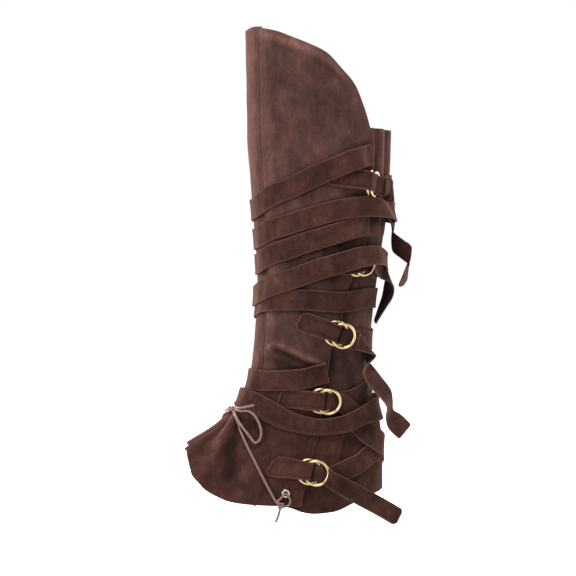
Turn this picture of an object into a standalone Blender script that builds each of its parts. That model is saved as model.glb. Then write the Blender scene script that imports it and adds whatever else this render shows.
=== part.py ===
"""Boot cover: a suede gaiter worn on the leg, with a spat over the instep and heel.

World frame in metres: +Z up the leg, -X toward the toe, -Y the outer side.
The origin is the centre of the ankle. All driving dimensions are millimetres.
"""
import bpy
import bmesh
import math
from mathutils import Vector

MM = 0.001
NAME = "boot_cover"

# ---------------------------------------------------------------- dimensions
PANEL_WALL = 1.8        # suede of the leg panels
STRAP_WALL = 1.6        # suede of straps and tabs
SPAT_WALL = 1.6         # suede of the vamp and heel
STRAP_WIDTH = 21.0
TAB_WIDTH = 20.0
PLY_GAP = 0.5           # air kept between two plies
RING_MAJOR = 12.1       # round rings: 27 mm across, 2.8 mm wire
RING_WIRE = 1.4
RING_SHIFT = 7.0        # second ring of a pair, back from the first
LACE_RADIUS = 1.35
SEAM_T = 26.0           # front seam of the leg, degrees round from the shin line
RIDGE_T = 11.0          # seam along the ridge of the vamp

INNER_TOP = PANEL_WALL                  # leg inner panel: 0 to 1.8 off the form
OUTER_LOW = 2.2                         # leg outer panel laps over it
OUTER_TOP = OUTER_LOW + PANEL_WALL      # 4.0
HEEL_LOW = 4.6
HEEL_TOP = HEEL_LOW + SPAT_WALL         # 6.2
UNDER_LOW = 6.6
UNDER_TOP = 8.0
VAMP_REAR_LOW = 8.4
VAMP_REAR_TOP = 10.0

# Level sections of the body form:
# height, front x, back x, x of the widest place, half width, squareness of the back
SECTIONS = [
    (400, -75, 75, 0, 60, 2.0),
    (290, -73, 76, 0, 60, 2.0),
    (215, -68, 72, 0, 58, 2.0),
    (130, -62, 60, -2, 54, 2.0),
    (60, -66, 53, -8, 48, 2.0),
    (5, -78, 54, -12, 40, 2.1),
    (-22, -104, 60, -20, 39, 2.3),
    (-45, -141, 61, -32, 41, 2.5),
    (-80, -188, 61, -40, 44, 2.5),
    (-118, -221, 60, -44, 46, 2.5),
]


# ---------------------------------------------------------------- the form
def spline(points, x):
    """Smooth curve through (x, y) points that never overshoots them."""
    pts = sorted(points)
    xs = [p[0] for p in pts]
    ys = [p[1] for p in pts]
    if x <= xs[0]:
        return ys[0]
    if x >= xs[-1]:
        return ys[-1]
    i = 0
    while x > xs[i + 1]:
        i += 1

    def slope(k):
        if k == 0:
            return (ys[1] - ys[0]) / (xs[1] - xs[0])
        if k == len(xs) - 1:
            return (ys[-1] - ys[-2]) / (xs[-1] - xs[-2])
        a = (ys[k] - ys[k - 1]) / (xs[k] - xs[k - 1])
        b = (ys[k + 1] - ys[k]) / (xs[k + 1] - xs[k])
        return 0.0 if a * b <= 0 else 2 * a * b / (a + b)

    h = xs[i + 1] - xs[i]
    q = (x - xs[i]) / h
    return ((2 * q**3 - 3 * q**2 + 1) * ys[i] + (q**3 - 2 * q**2 + q) * h * slope(i)
            + (3 * q**2 - 2 * q**3) * ys[i + 1] + (q**3 - q**2) * h * slope(i + 1))


def raw(t, z):
    front, back, mid, half, square = (
        spline([(s[0], s[k]) for s in SECTIONS], z) for k in range(1, 6))
    a = math.radians(t)
    c, s = math.cos(a), math.sin(a)
    n = 2.0 if c > 0 else square
    reach = mid - front if c > 0 else back - mid
    return Vector((mid - reach * math.copysign(abs(c) ** (2 / n), c),
                   -half * math.copysign(abs(s) ** (2 / n), s), z))


def axes(t, z):
    """Unit directions at a place on the form: round it, up it and out of it."""
    round_dir = (raw(t + 0.5, z) - raw(t - 0.5, z))
    up = (raw(t, z + 0.5) - raw(t, z - 0.5))
    out = round_dir.cross(up).normalized()
    return round_dir.normalized(), up.normalized(), out


def form(t, z, off=0.0):
    return raw(t, z) + axes(t, z)[2] * off


def per_degree(t, z):
    return (raw(t + 1, z) - raw(t - 1, z)).length / 2


def ease(x):
    x = min(1.0, max(0.0, x))
    return x * x * (3 - 2 * x)


def wrap(t):
    return t % 360.0


# ---------------------------------------------------------------- edge curves
OUTER_TOP_EDGE = [(20, 391), (45, 384), (59, 377), (74, 369), (86, 361), (98, 345),
                  (108, 330), (114, 314), (119, 298), (123, 283), (128, 269)]
OUTER_BACK_EDGE = [(20, 96), (40, 98), (64, 99), (81, 104), (99, 107), (122, 109),
                   (138, 115), (172, 124), (223, 126), (269, 128)]
INNER_TOP_EDGE = [(110, 287), (150, 287), (200, 288), (288, 289), (300, 303), (312, 328),
                  (328, 350), (338, 370), (345, 385), (352, 391.5), (362, 390.5), (375, 391.5),
              (392, 390)]
VAMP_HEM = [(0, -43), (12, -46), (17, -47), (29, -54), (38, -62), (44, -69), (50, -75), (54, -80),
            (61, -87), (68, -93), (76, -96), (85, -97.5), (99, -99)]
INNER_VAMP_HEM = [(0, -42), (10, -41.5), (17, -42.5), (25, -46), (35, -51.5), (45, -61),
                  (50, -67), (55, -73.5), (60, -80), (65, -85.5), (70, -90), (76, -93.5),
                  (85, -96.5), (99, -99)]
HEEL_HEM = [(80, -94), (90, -100), (95, -105), (101, -107), (111, -106), (127, -98), (150, -90),
            (180, -86), (210, -90), (233, -98), (249, -106), (259, -107), (265, -105),
            (270, -100), (280, -94)]
LEG_FOOT = [(0, 10), (18, 10), (43, 4), (57, 0), (78, -9), (96, -14), (120, -14)]
INNER_FOOT = [(80, -10), (96, -14), (115, -13), (130, -6), (137, 2), (143, 17), (155, 25),
              (195, 28), (215, 20), (235, 0), (250, -10), (264, -14), (282, -9), (303, 0),
              (317, 4), (342, 10), (392, 10)]
BAND_TOP = [(11, 17), (24, 16.5), (37, 13.4), (49, 8.8), (59, 3), (69, -1.9), (78, -5.6),
            (95, -9.4), (109, -7), (118, -3.5), (129, 1.4), (149, 9.5), (180, 12)]
BAND_LOW = [(11, -3), (41, -9), (60, -16.5), (77, -22.5), (95, -27.4), (110, -26), (117, -23.8),
            (122, -21.5), (133, -17.5), (171, -16), (180, -15)]


def mirrored(curve, t):
    """Edges of the spat are the same on both sides of the foot."""
    t = wrap(t)
    return spline(curve, t if t <= 180 else 360 - t)


def outer_back(z):
    return spline(OUTER_BACK_EDGE, z)


def leg_top(t, z):
    """How far the leg panels stand off the form."""
    t = wrap(t)
    back = outer_back(z)
    if SEAM_T <= t <= back:
        return OUTER_TOP
    gap = min((t - back) % 360, (SEAM_T - t) % 360)
    return OUTER_TOP - (OUTER_TOP - INNER_TOP) * ease((gap - 5) / 18)


def vamp_low(t):
    """The vamp rises over the heel piece toward its rear edge, on both sides."""
    t = wrap(t)
    t = t if t <= 180 else 360 - t
    return HEEL_LOW + (VAMP_REAR_LOW - HEEL_LOW) * ease((t - 56) / 26)


# ---------------------------------------------------------------- meshes
def clear():
    for ob in list(bpy.data.objects):
        bpy.data.objects.remove(ob, do_unlink=True)


clear()
ROOT = bpy.data.collections.new(NAME)
bpy.context.scene.collection.children.link(ROOT)


def material(name, colour, rough, metal):
    m = bpy.data.materials.new(name)
    m.use_nodes = True
    b = m.node_tree.nodes["Principled BSDF"]
    b.inputs["Base Color"].default_value = (*colour, 1)
    b.inputs["Roughness"].default_value = rough
    b.inputs["Metallic"].default_value = metal
    return m


SUEDE = ((0.085, 0.036, 0.026), 0.92, 0.0)
BRASS = ((0.72, 0.52, 0.22), 0.25, 1.0)
NICKEL = ((0.62, 0.62, 0.60), 0.25, 1.0)
LACE = ((0.16, 0.085, 0.07), 0.6, 0.0)


def finish_object(name, data, look):
    ob = bpy.data.objects.new(name, data)
    data.materials.append(material("mat_" + name, *look))
    ROOT.objects.link(ob)
    return ob


def solid(name, verts, faces, look=SUEDE):
    me = bpy.data.meshes.new(name)
    me.from_pydata([tuple(v * MM) for v in verts], [], faces)
    bm = bmesh.new()
    bm.from_mesh(me)
    bmesh.ops.recalc_face_normals(bm, faces=bm.faces)
    bmesh.ops.triangulate(bm, faces=bm.faces)
    bm.to_mesh(me)
    bm.free()
    return finish_object(name, me, look)


def shell(name, place, nu, nv, low, top, look=SUEDE):
    """Closed sheet: place(u, v) gives a spot on the form, low and top its two faces."""
    verts, faces = [], []
    for side in (low, top):
        for i in range(nu + 1):
            for j in range(nv + 1):
                t, z = place(i / nu, j / nv)
                verts.append(form(t, z, side(t, z)))
    n = (nu + 1) * (nv + 1)

    def at(i, j, s):
        return s * n + i * (nv + 1) + j
    for i in range(nu):
        for j in range(nv):
            faces.append((at(i, j, 1), at(i + 1, j, 1), at(i + 1, j + 1, 1), at(i, j + 1, 1)))
            faces.append((at(i, j, 0), at(i, j + 1, 0), at(i + 1, j + 1, 0), at(i + 1, j, 0)))
    for i in range(nu):
        for j in (0, nv):
            faces.append((at(i, j, 0), at(i + 1, j, 0), at(i + 1, j, 1), at(i, j, 1)))
    for j in range(nv):
        for i in (0, nu):
            faces.append((at(i, j, 0), at(i, j + 1, 0), at(i, j + 1, 1), at(i, j, 1)))
    return solid(name, verts, faces, look)


def ribbon(name, stations, look=SUEDE):
    """Closed strip through stations of four corners: a low, a top, b top, b low."""
    verts = [p for st in stations for p in st]
    faces = []
    for k in range(len(stations) - 1):
        for c in range(4):
            d = (c + 1) % 4
            faces.append((4 * k + c, 4 * k + d, 4 * k + 4 + d, 4 * k + 4 + c))
    faces.append((0, 1, 2, 3))
    last = 4 * (len(stations) - 1)
    faces.append((last + 3, last + 2, last + 1, last))
    return solid(name, verts, faces, look)


def laid(controls, width=STRAP_WIDTH, wall=STRAP_WALL, step=7.0, ground=leg_top):
    """Stations of a strap lying on the form through controls (t, z, height over the ground)."""
    ts = [c[0] for c in controls]
    t0, t1 = ts[0], ts[-1]
    n = max(2, int(round(abs(t1 - t0) / step)))
    out = []
    sign = 1 if t1 > t0 else -1
    for k in range(n + 1):
        t = t0 + (t1 - t0) * k / n
        z = spline([(c[0], c[1]) for c in controls], t)
        h = spline([(c[0], c[2]) for c in controls], t)
        a = max(min(t0, t1), t - 1)
        b = min(max(t0, t1), t + 1)
        dz = (spline([(c[0], c[1]) for c in controls], b)
              - spline([(c[0], c[1]) for c in controls], a)) / (b - a)
        r = per_degree(t, z)
        length = math.hypot(r, dz)
        du, dv = -dz / length * width / 2 / r, r / length * width / 2
        a_low = ground(t + du, z + dv) + h
        b_low = ground(t - du, z - dv) + h
        out.append((form(t + du, z + dv, a_low), form(t + du, z + dv, a_low + wall),
                    form(t - du, z - dv, b_low + wall), form(t - du, z - dv, b_low)))
    return out


def flat_stations(centres, widths, wall, across):
    """Stations of a strip in the air: centre line, width and width direction at each."""
    out = []
    n = len(centres)
    for k in range(n):
        tangent = (centres[min(n - 1, k + 1)] - centres[max(0, k - 1)]).normalized()
        u = across[k] - tangent * across[k].dot(tangent)
        u.normalize()
        face = tangent.cross(u).normalized()
        p, w = centres[k], widths[k] / 2
        out.append((p + u * w - face * wall / 2, p + u * w + face * wall / 2,
                    p - u * w + face * wall / 2, p - u * w - face * wall / 2))
    return out


class Buckle:
    """Frame of a ring pair: s along the tab toward the rings, w across it, h out."""

    def __init__(self, t, z, slope, base, ground, touch=-6.0):
        self.t, self.z, self.base, self.ground = t, z, base, ground
        self.slope = math.radians(slope)
        mid_t, mid_z = self.spot(touch, 0.0)
        rd, up, out = axes(mid_t, mid_z)
        c, s = math.cos(self.slope), math.sin(self.slope)
        self.n = out
        self.s = (rd * c + up * s).normalized()
        self.w = out.cross(self.s).normalized()
        self.centre = form(mid_t, mid_z, base) - self.s * touch

    def spot(self, s, w):
        """Surface coordinates of a place in the frame."""
        r = per_degree(self.t, self.z)
        c, q = math.cos(self.slope), math.sin(self.slope)
        return self.t + (s * c - w * q) / r, self.z + s * q + w * c

    def on_form(self, s, w, h):
        t, z = self.spot(s, w)
        return form(t, z, self.ground(t, z) + h)

    def in_plane(self, s, w, h):
        return self.centre + self.s * s + self.w * w + self.n * h


def path_ribbon(buckle, path, widths, wall):
    """Stations of a strip running through (kind, s, h) marks of a buckle frame."""
    centres, across = [], []
    for kind, s, h in path:
        f = buckle.on_form if kind == "form" else buckle.in_plane
        centres.append(f(s, 0, h))
        across.append((f(s, 5, h) - f(s, -5, h)).normalized())
    out = flat_stations(centres, widths, wall, across)
    for k, (kind, s, h) in enumerate(path):
        if kind == "form":
            w = widths[k] / 2
            sign = 1 if (out[k][1] - out[k][0]).dot(buckle.n) > 0 else -1
            low, top = h - sign * wall / 2, h + sign * wall / 2
            out[k] = (buckle.on_form(s, w, low), buckle.on_form(s, w, top),
                      buckle.on_form(s, -w, top), buckle.on_form(s, -w, low))
    return out


# Folded tab: upper ply from its sewn end to the fold, then the short lower ply.
def tab(name, buckle, length):
    path = [("form", -length, 1.3), ("form", -length + 1.6, 1.3),
            ("form", -length + 4.5, 1.3), ("form", -min(38, length - 7), 1.4),
            ("form", -min(32, length - 8.5), 2.6),
            ("plane", -25, 4.4), ("plane", -20, 6.6), ("plane", -14, 8.7),
            ("plane", -7.4, 9.0), ("plane", -5.6, 8.6), ("plane", -5.1, 7.2),
            ("plane", -5.1, 3.0), ("plane", -5.9, 1.75), ("form", -8.5, 1.3),
            ("form", -14, 1.3), ("form", -22, 1.3), ("form", -25, 1.3)]
    n = len(path)
    widths = [TAB_WIDTH - 8, TAB_WIDTH - 3, TAB_WIDTH, TAB_WIDTH, TAB_WIDTH, TAB_WIDTH,
              19, 18, 17] + [17] * (n - 9)
    ribbon(name, path_ribbon(buckle, path, widths, STRAP_WALL))


def ring(name, buckle, s, h_left, h_right):
    """Round ring whose plane rises from its tab side to its far side."""
    mid = buckle.in_plane(s, 0, (h_left + h_right) / 2)
    along = (buckle.s * 2 * RING_MAJOR + buckle.n * (h_right - h_left)).normalized()
    normal = along.cross(buckle.w).normalized()
    verts, faces = [], []
    big, small = 24, 8
    for i in range(big):
        a = 2 * math.pi * i / big
        d = along * math.cos(a) + buckle.w * math.sin(a)
        for j in range(small):
            b = 2 * math.pi * (j + 0.5) / small
            verts.append(mid + d * (RING_MAJOR + RING_WIRE * math.cos(b))
                         + normal * RING_WIRE * math.sin(b))
    for i in range(big):
        for j in range(small):
            k, m = (i + 1) % big, (j + 1) % small
            faces.append((i * small + j, k * small + j, k * small + m, i * small + m))
    solid(name, verts, faces, BRASS)


# The strap runs in under both rings, turns round the first and goes back over it.
TURN = [("form", 16, 1.3), ("form", 8, 1.3), ("form", 1.0, 1.3), ("plane", -0.9, 1.7),
        ("plane", -1.7, 2.9), ("plane", -1.7, 5.0), ("plane", -1.0, 6.1),
        ("plane", 0.6, 6.35), ("plane", 5.0, 6.3), ("plane", 8.2, 5.5),
        ("plane", 12.0, 5.2), ("plane", 15.6, 5.1)]
TURN_WIDTHS = [20, 19, 17.5, 17, 17, 17, 17, 17, 17, 17.5, 18.5, 20]


def turned(buckle):
    return path_ribbon(buckle, TURN, TURN_WIDTHS, STRAP_WALL)


def joined(run, more):
    """Add one run of stations to another, matching the corners where they meet."""
    last, first = run[-1], more[0]
    orders = []
    for turn in range(4):
        cycle = [(turn + k) % 4 for k in range(4)]
        orders += [cycle, cycle[::-1]]

    def misfit(order):
        return sum((last[k] - first[order[k]]).length for k in range(4))
    best = min(orders, key=misfit)
    return run + [tuple(q[k] for k in best) for q in more]


# ---------------------------------------------------------------- leg panels
def outer_place(u, v):
    t = SEAM_T + (128 - SEAM_T) * u
    z = 200.0
    for _ in range(12):
        foot = mirrored(LEG_FOOT, t)
        z = foot + (spline(OUTER_TOP_EDGE, t) - foot) * v
        t = SEAM_T + (outer_back(z) - SEAM_T) * u
    return t, z


def inner_place(u, v):
    t = 110 + (SEAM_T + 4 + 360 - 110) * u
    z = 100.0
    for _ in range(12):
        foot = spline(INNER_FOOT, t)
        z = foot + (spline(INNER_TOP_EDGE, t) - foot) * v
        start = outer_back(z) - 11
        t = start + (SEAM_T + 4 + 360 - start) * u
    return t, z


shell("outer_panel", outer_place, 13, 24,
      lambda t, z: OUTER_LOW, lambda t, z: OUTER_TOP)
shell("inner_panel", inner_place, 34, 22,
      lambda t, z: 0.0, lambda t, z: INNER_TOP)


# ---------------------------------------------------------------- the spat
def vamp_place(t0, t1, hem_line):
    def place(u, v):
        t = t0 + (t1 - t0) * u
        folded = t if t <= 180 else 360 - t
        top = (mirrored(BAND_TOP, t) + mirrored(BAND_LOW, t)) / 2 + 2
        hem = spline(hem_line, folded)
        return t, hem + (top - hem) * v
    return place


shell("vamp_outer", vamp_place(RIDGE_T + 0.3, 96, VAMP_HEM), 20, 14,
      lambda t, z: vamp_low(t), lambda t, z: vamp_low(t) + SPAT_WALL)
shell("vamp_inner", vamp_place(360 + RIDGE_T - 0.5, 264, INNER_VAMP_HEM), 24, 14,
      lambda t, z: vamp_low(t), lambda t, z: vamp_low(t) + SPAT_WALL)


def heel_place(u, v):
    t = 85 + 190 * u
    return t, spline(HEEL_HEM, t) + (-15 - spline(HEEL_HEM, t)) * v


shell("heel_piece", heel_place, 30, 10,
      lambda t, z: HEEL_LOW, lambda t, z: HEEL_TOP)


def underlap_place(u, v):
    z = -68 + (-14 + 68) * v
    return 89 + (112 + 2 * v - 89) * u, z


shell("underlap", underlap_place, 5, 6,
      lambda t, z: UNDER_LOW, lambda t, z: UNDER_TOP)


BAND_OUTER_SIDE = [(0, 6.8), (56, 6.8), (80, 10.6), (102, 10.8), (111, 12.6), (122, 12.8),
                   (150, 12.2), (172, 7.8), (182, 6.8)]
BAND_INNER_SIDE = [(0, 6.8), (56, 6.8), (80, 10.6), (97, 10.6), (118, 6.8), (180, 6.8)]


def band_low(t, z):
    t = wrap(t)
    return spline(BAND_OUTER_SIDE, t) if t <= 180 else spline(BAND_INNER_SIDE, 360 - t)


def band_place(u, v):
    t = RIDGE_T + 0.3 + (359.2) * u
    low, top = mirrored(BAND_LOW, t), mirrored(BAND_TOP, t)
    if t > 360 - RIDGE_T or t < RIDGE_T:
        low, top = BAND_LOW[0][1], BAND_TOP[0][1]
    return t, low + (top - low) * v


shell("ankle_band", band_place, 54, 2,
      band_low, lambda t, z: band_low(t, z) + SPAT_WALL)

# ---------------------------------------------------------------- tabs and rings
def heel_ground(t, z):
    t = wrap(t)
    return HEEL_TOP + (VAMP_REAR_TOP - HEEL_TOP) * ease((132 - t) / 16)


B1 = Buckle(126, 229.5, -10, OUTER_TOP, leg_top, touch=-2.0)
B2 = Buckle(119, 149, 6, OUTER_TOP, leg_top, touch=0.0)
B3 = Buckle(106.5, 75.5, -19, OUTER_TOP, leg_top)
B4 = Buckle(98, 8, -4, OUTER_TOP, leg_top, touch=0.0)
B5 = Buckle(98.5, -65.5, -12, VAMP_REAR_TOP, heel_ground)
BUCKLES = [(B1, 50), (B2, 36), (B3, 46), (B4, 50), (B5, 42)]
for k, (b, length) in enumerate(BUCKLES, 1):
    tab("tab_%d" % k, b, length)
    ring("ring_%d_rear" % k, b, -RING_SHIFT, 3.8, 3.8)
    ring("ring_%d_front" % k, b, 0.0, 6.2, 8.7)

# ---------------------------------------------------------------- straps
LOW, OVER = PLY_GAP, 2.8
top_strap = laid([(205, 232, LOW), (180, 232, LOW), (149, 229, LOW)])
strap_a = laid([(124, 260, LOW), (121, 259, 1.0), (117, 257.5, 3.2), (112, 256, 6.2),
               (107, 254, 8.2), (102, 251.5, 7.6), (96, 247.5, 4.4), (88, 242.3, 2.9),
               (80, 238, 2.6), (72, 233.5, LOW),
               (64, 228.8, LOW), (56, 224.6, LOW), (47, 220.9, LOW), (37, 216.5, LOW),
               (24, 210, LOW), (13, 206, LOW), (-10, 204, LOW),
               (-90, 204, LOW), (-148, 205, LOW), (-164, 205.5, 5.4), (-180, 206, 8.4),
               (-200, 206, 8.8), (-209, 206, 10.4), (-216, 206, 10.9), (-221, 206.2, 10.2),
               (-227, 206.5, 6.8),
               (-238, 206.8, 3.4), (-250, 205.5, 2.8), (-258, 203.7, 2.4), (-266, 201.7, 0.8),
               (-280, 196.9, LOW),
               (-296, 191.5, LOW), (-314, 185.8, LOW), (-326, 182.6, LOW), (-340, 176, LOW),
               (-369, 174, LOW), (-450, 172, LOW),
               (-500, 168, LOW), (-540, 156, LOW), (-560, 147, 0.8), (-581, 143, 0.8)],
               step=6)
strap_b = laid([(125, 187.6, LOW), (106, 182.5, LOW), (96, 178.8, LOW), (80, 173, LOW),
               (63, 166.8, LOW), (54, 163.2, LOW), (44, 160.4, LOW), (33, 157, LOW),
               (23, 153, LOW), (10, 148.5, LOW), (-9, 147.5, LOW), (-75, 147, LOW),
               (-95, 146, LOW), (-110, 146, OVER),
               (-140, 149, OVER), (-180, 154, 4.5), (-196, 155, 9.0), (-206, 157, 12.4),
               (-218, 157.4, 13.0), (-232, 157, 12.4), (-246, 154.5, 12.9), (-258, 150.5, 11.4),
               (-268, 147, 7.6), (-280, 142.4, OVER), (-290, 138.2, OVER), (-302, 133.2, OVER),
               (-316, 128.3, OVER), (-327, 124.4, OVER), (-340, 119.6, OVER), (-369, 114, OVER),
               (-420, 114, OVER),
               (-450, 114, OVER), (-470, 114, LOW), (-540, 113, LOW), (-582, 113, LOW),
               (-620, 109, LOW), (-656, 111, LOW), (-679, 111, LOW), (-698, 109, LOW),
               (-729, 103, LOW), (-752, 99, LOW), (-780, 94, LOW), (-810, 89, LOW),
               (-870, 78, LOW), (-900, 71, LOW), (-930, 68, LOW), (-950, 70, LOW)],
               step=6)
strap_c = laid([(96.5, 38, LOW), (86, 35, 1.8), (76, 32, 3.6), (62, 30, 2.9), (45, 28.5, 2.9),
                (36, 28, 1.4), (28, 28, LOW), (13, 28, LOW),
                (-30, 28, LOW), (-90, 27, LOW), (-150, 26, LOW), (-180, 25, LOW),
                (-206, 20, LOW), (-222, 13, LOW), (-236, 8, LOW)], step=6)
heel_strap = laid([(151, -46, LOW), (140, -50, LOW), (130, -57, LOW), (120, -62, LOW)],
                  ground=heel_ground, step=4)

strap_nodes = [("strap_top", top_strap, B1), ("strap_a", strap_a, B2),
               ("strap_b", strap_b, B3), ("strap_c", strap_c, B4),
               ("strap_heel", heel_strap, B5)]
for name, run, buckle in strap_nodes:
    ribbon(name, joined(run, turned(buckle)))


# ---------------------------------------------------------------- free tails
def tail(name, buckle, marks, lead=((16.2, 5.1), (18.6, 4.9)), round_end=True):
    """Hanging end of a strap: marks are a place and the direction across the strap there."""
    centres = [buckle.in_plane(s, 0, h) for s, h in lead]
    across = [buckle.w.copy() for _ in lead]
    for place, direction in marks:
        centres.append(Vector(place))
        across.append(Vector(direction).normalized())
    fine_c, fine_a = [], []
    n = len(centres)
    for k in range(n - 1):
        p0 = centres[max(0, k - 1)]
        p1, p2 = centres[k], centres[k + 1]
        p3 = centres[min(n - 1, k + 2)]
        cuts = max(1, int(round((p2 - p1).length / 4.5)))
        for i in range(cuts):
            q = i / cuts
            fine_c.append(0.5 * ((2 * p1) + (p2 - p0) * q + (2 * p0 - 5 * p1 + 4 * p2 - p3) * q * q
                                 + (3 * p1 - p0 - 3 * p2 + p3) * q**3))
            fine_a.append((across[k] * (1 - q) + across[k + 1] * q).normalized())
    fine_c.append(centres[-1])
    fine_a.append(across[-1])
    widths = [20.0, 19, 18, 18, 19] + [STRAP_WIDTH] * (len(fine_c) - 5)
    if round_end:
        last = (fine_c[-1] - fine_c[-2]).normalized()
        base = fine_c[-1]
        for d, w in ((2.5, 20), (5.5, 16.5), (7.5, 11.5)):
            fine_c.append(base + last * d)
            fine_a.append(fine_a[-1])
            widths.append(w)
    ribbon(name, flat_stations(fine_c, widths, STRAP_WALL, fine_a))


def by_form(t, z, h, lean):
    """A mark near the form: across leans from up toward the way round, in degrees."""
    rd, up, out = axes(t, z)
    a = math.radians(lean)
    return form(t, z, leg_top(t, z) + h), up * math.cos(a) + rd * math.sin(a)


tail("tail_1", B1, [by_form(153, 220.5, 6.6, 20), by_form(160, 213.5, 4.9, 36),
                    by_form(168, 204, 4.2, 46),
                    ((77, -5, 189), (0.1, 0.9, 0.4)), ((80, -8, 175), (-0.2, 0.95, 0.0)),
                    ((88, -10, 163), (-0.5, 0.74, -0.45)), ((94, -12, 154), (-0.5, 0.8, -0.3)),
                    ((92, -14, 142), (-0.3, 0.95, 0)), ((90, -16, 132), (-0.26, 0.96, 0))])
tail("tail_2", B2, [by_form(144, 147.5, 8.0, 16), by_form(150, 138, 8.6, 34),
                    ((70, -29, 127), (-0.24, 0.0, 0.97)), ((72, -23, 119), (-0.6, 0.4, 0.7)),
                    ((69, -19, 108), (-0.38, 0.91, 0.15)), ((64, -16, 94), (-0.2, 0.97, 0.1))],
     round_end=False)
tail("tail_3", B3, [((36, -55, 67), (0.55, 0.25, 0.8)), ((45, -50, 60), (0.45, 0.8, 0.4)),
                    ((49, -45, 53), (0.1, 0.99, 0.1)), ((46, -42, 46), (-0.2, 0.97, 0.1)),
                    ((44, -42, 39), (0.1, 0.98, 0.1)), ((47, -42, 31), (0.45, 0.85, 0.2)),
                    ((52, -40, 23), (0.65, 0.65, 0.4)), ((60, -37, 15), (0.6, 0.6, 0.5)),
                    ((68, -33, 4), (0.5, 0.8, 0.3)), ((71, -30, -6), (0.45, 0.9, 0.1)),
                    ((76, -28, -15), (0.6, 0.6, 0.5)), ((79, -27, -20), (0.65, 0.3, 0.7))],
     lead=((16.2, 5.1), (20.0, 5.1)))
tail("tail_5", B5, [((10, -67, -73), (0.3, 0.35, 0.9)), ((24, -68, -82), (0.43, 0.5, 0.75)),
                    ((39, -66, -91), (0.43, 0.5, 0.75)), ((61, -63, -104), (0.43, 0.5, 0.75))],
     lead=((16.2, 5.1), (20.0, 5.1)))


# The fourth strap end runs on under the ankle band and round the heel.
def cross_ground(t, z):
    return 0.0


cross = laid([(127, -17, 7.4), (130, -21, 7.4), (135, -26.5, 8.0), (141, -31, 9.2),
              (150, -36, 9.9), (159, -40, 9.9), (170, -46, 8.8), (182, -52, HEEL_TOP + 1.2),
              (200, -60, HEEL_TOP + 0.9), (222, -68, HEEL_TOP + 0.9)],
             ground=cross_ground, step=4)
near4 = [(B4.in_plane(16.2, 0, 5.1), B4.w), (B4.in_plane(18.4, 0, 4.8), B4.w),
         by_form(122.3, 3.0, 8.0, 16), by_form(125, -3.5, 7.2, 38), by_form(126.5, -10, 7.0, 52)]
lead4 = flat_stations([p for p, _ in near4], [20, 18.5, 15, 13, 15], STRAP_WALL,
                      [a for _, a in near4])
ribbon("tail_4", joined(lead4, cross))


# ---------------------------------------------------------------- eyelets and lace
def washer(name, t, z, off, outer=4.2, inner=2.3, height=1.2):
    rd, up, out = axes(t, z)
    up = out.cross(rd).normalized()
    c = form(t, z, off)
    verts, faces = [], []
    n = 20
    profile = [(inner, 0.0), (outer, 0.0), (outer - 0.3, height * 0.7),
               ((outer + inner) / 2, height), (inner + 0.2, height * 0.7)]
    m = len(profile)
    for i in range(n):
        a = 2 * math.pi * i / n
        d = rd * math.cos(a) + up * math.sin(a)
        for r, h in profile:
            verts.append(c + d * r + out * h)
    for i in range(n):
        for j in range(m):
            k, q = (i + 1) % n, (j + 1) % m
            faces.append((i * m + j, k * m + j, k * m + q, i * m + q))
    solid(name, verts, faces, NICKEL)


def smooth_line(points, spacing=4.0):
    out = []
    n = len(points)
    for k in range(n - 1):
        p0, p1 = points[max(0, k - 1)], points[k]
        p2, p3 = points[k + 1], points[min(n - 1, k + 2)]
        cuts = max(2, int(round((p2 - p1).length / spacing)))
        for i in range(cuts):
            q = i / cuts
            out.append(0.5 * ((2 * p1) + (p2 - p0) * q + (2 * p0 - 5 * p1 + 4 * p2 - p3) * q * q
                              + (3 * p1 - p0 - 3 * p2 + p3) * q**3))
    out.append(points[-1])
    return out


def lace(name, points, radius=LACE_RADIUS, spacing=5.0):
    line = smooth_line([Vector(p) for p in points], spacing)
    cu = bpy.data.curves.new(name, "CURVE")
    cu.dimensions = "3D"
    cu.bevel_depth = radius * MM
    cu.bevel_resolution = 2
    cu.use_fill_caps = True
    sp = cu.splines.new("POLY")
    sp.points.add(len(line) - 1)
    for k, p in enumerate(line):
        sp.points[k].co = (*(p * MM), 1)
    finish_object(name, cu, LACE)


def knot(name, centre, along, across, size):
    """Small tied knot: a lumpy ball drawn out along one direction."""
    along, across = along.normalized(), across.normalized()
    third = along.cross(across).normalized()
    verts, faces = [centre + along * size[0]], []
    rings, n = 5, 10
    for i in range(1, rings + 1):
        a = math.pi * i / (rings + 1)
        for j in range(n):
            b = 2 * math.pi * j / n
            r = math.sin(a) * (1 + 0.07 * math.cos(3 * b))
            verts.append(centre + along * size[0] * math.cos(a)
                         + across * size[1] * r * math.cos(b) + third * size[2] * r * math.sin(b))
    verts.append(centre - along * size[0])
    for j in range(n):
        faces.append((0, 1 + j, 1 + (j + 1) % n))
        for i in range(rings - 1):
            p, q = 1 + i * n, 1 + (i + 1) * n
            faces.append((p + j, q + j, q + (j + 1) % n, p + (j + 1) % n))
        p = 1 + (rings - 1) * n
        faces.append((p + j, len(verts) - 1, p + (j + 1) % n))
    solid(name, verts, faces, LACE)


BOW = form(14, -7, 10.9)
BOW_SIZE = (4.6, 3.8, 3.8)
BOW_REACH = 5.0


def at_bow(x, y, z, reach=BOW_REACH):
    """Where a lace leaves the bow's knot, in this direction."""
    return BOW + Vector((x, y, z)).normalized() * reach


knot("bow_knot", BOW, axes(14, -7)[1], axes(14, -7)[0], BOW_SIZE)

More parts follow.
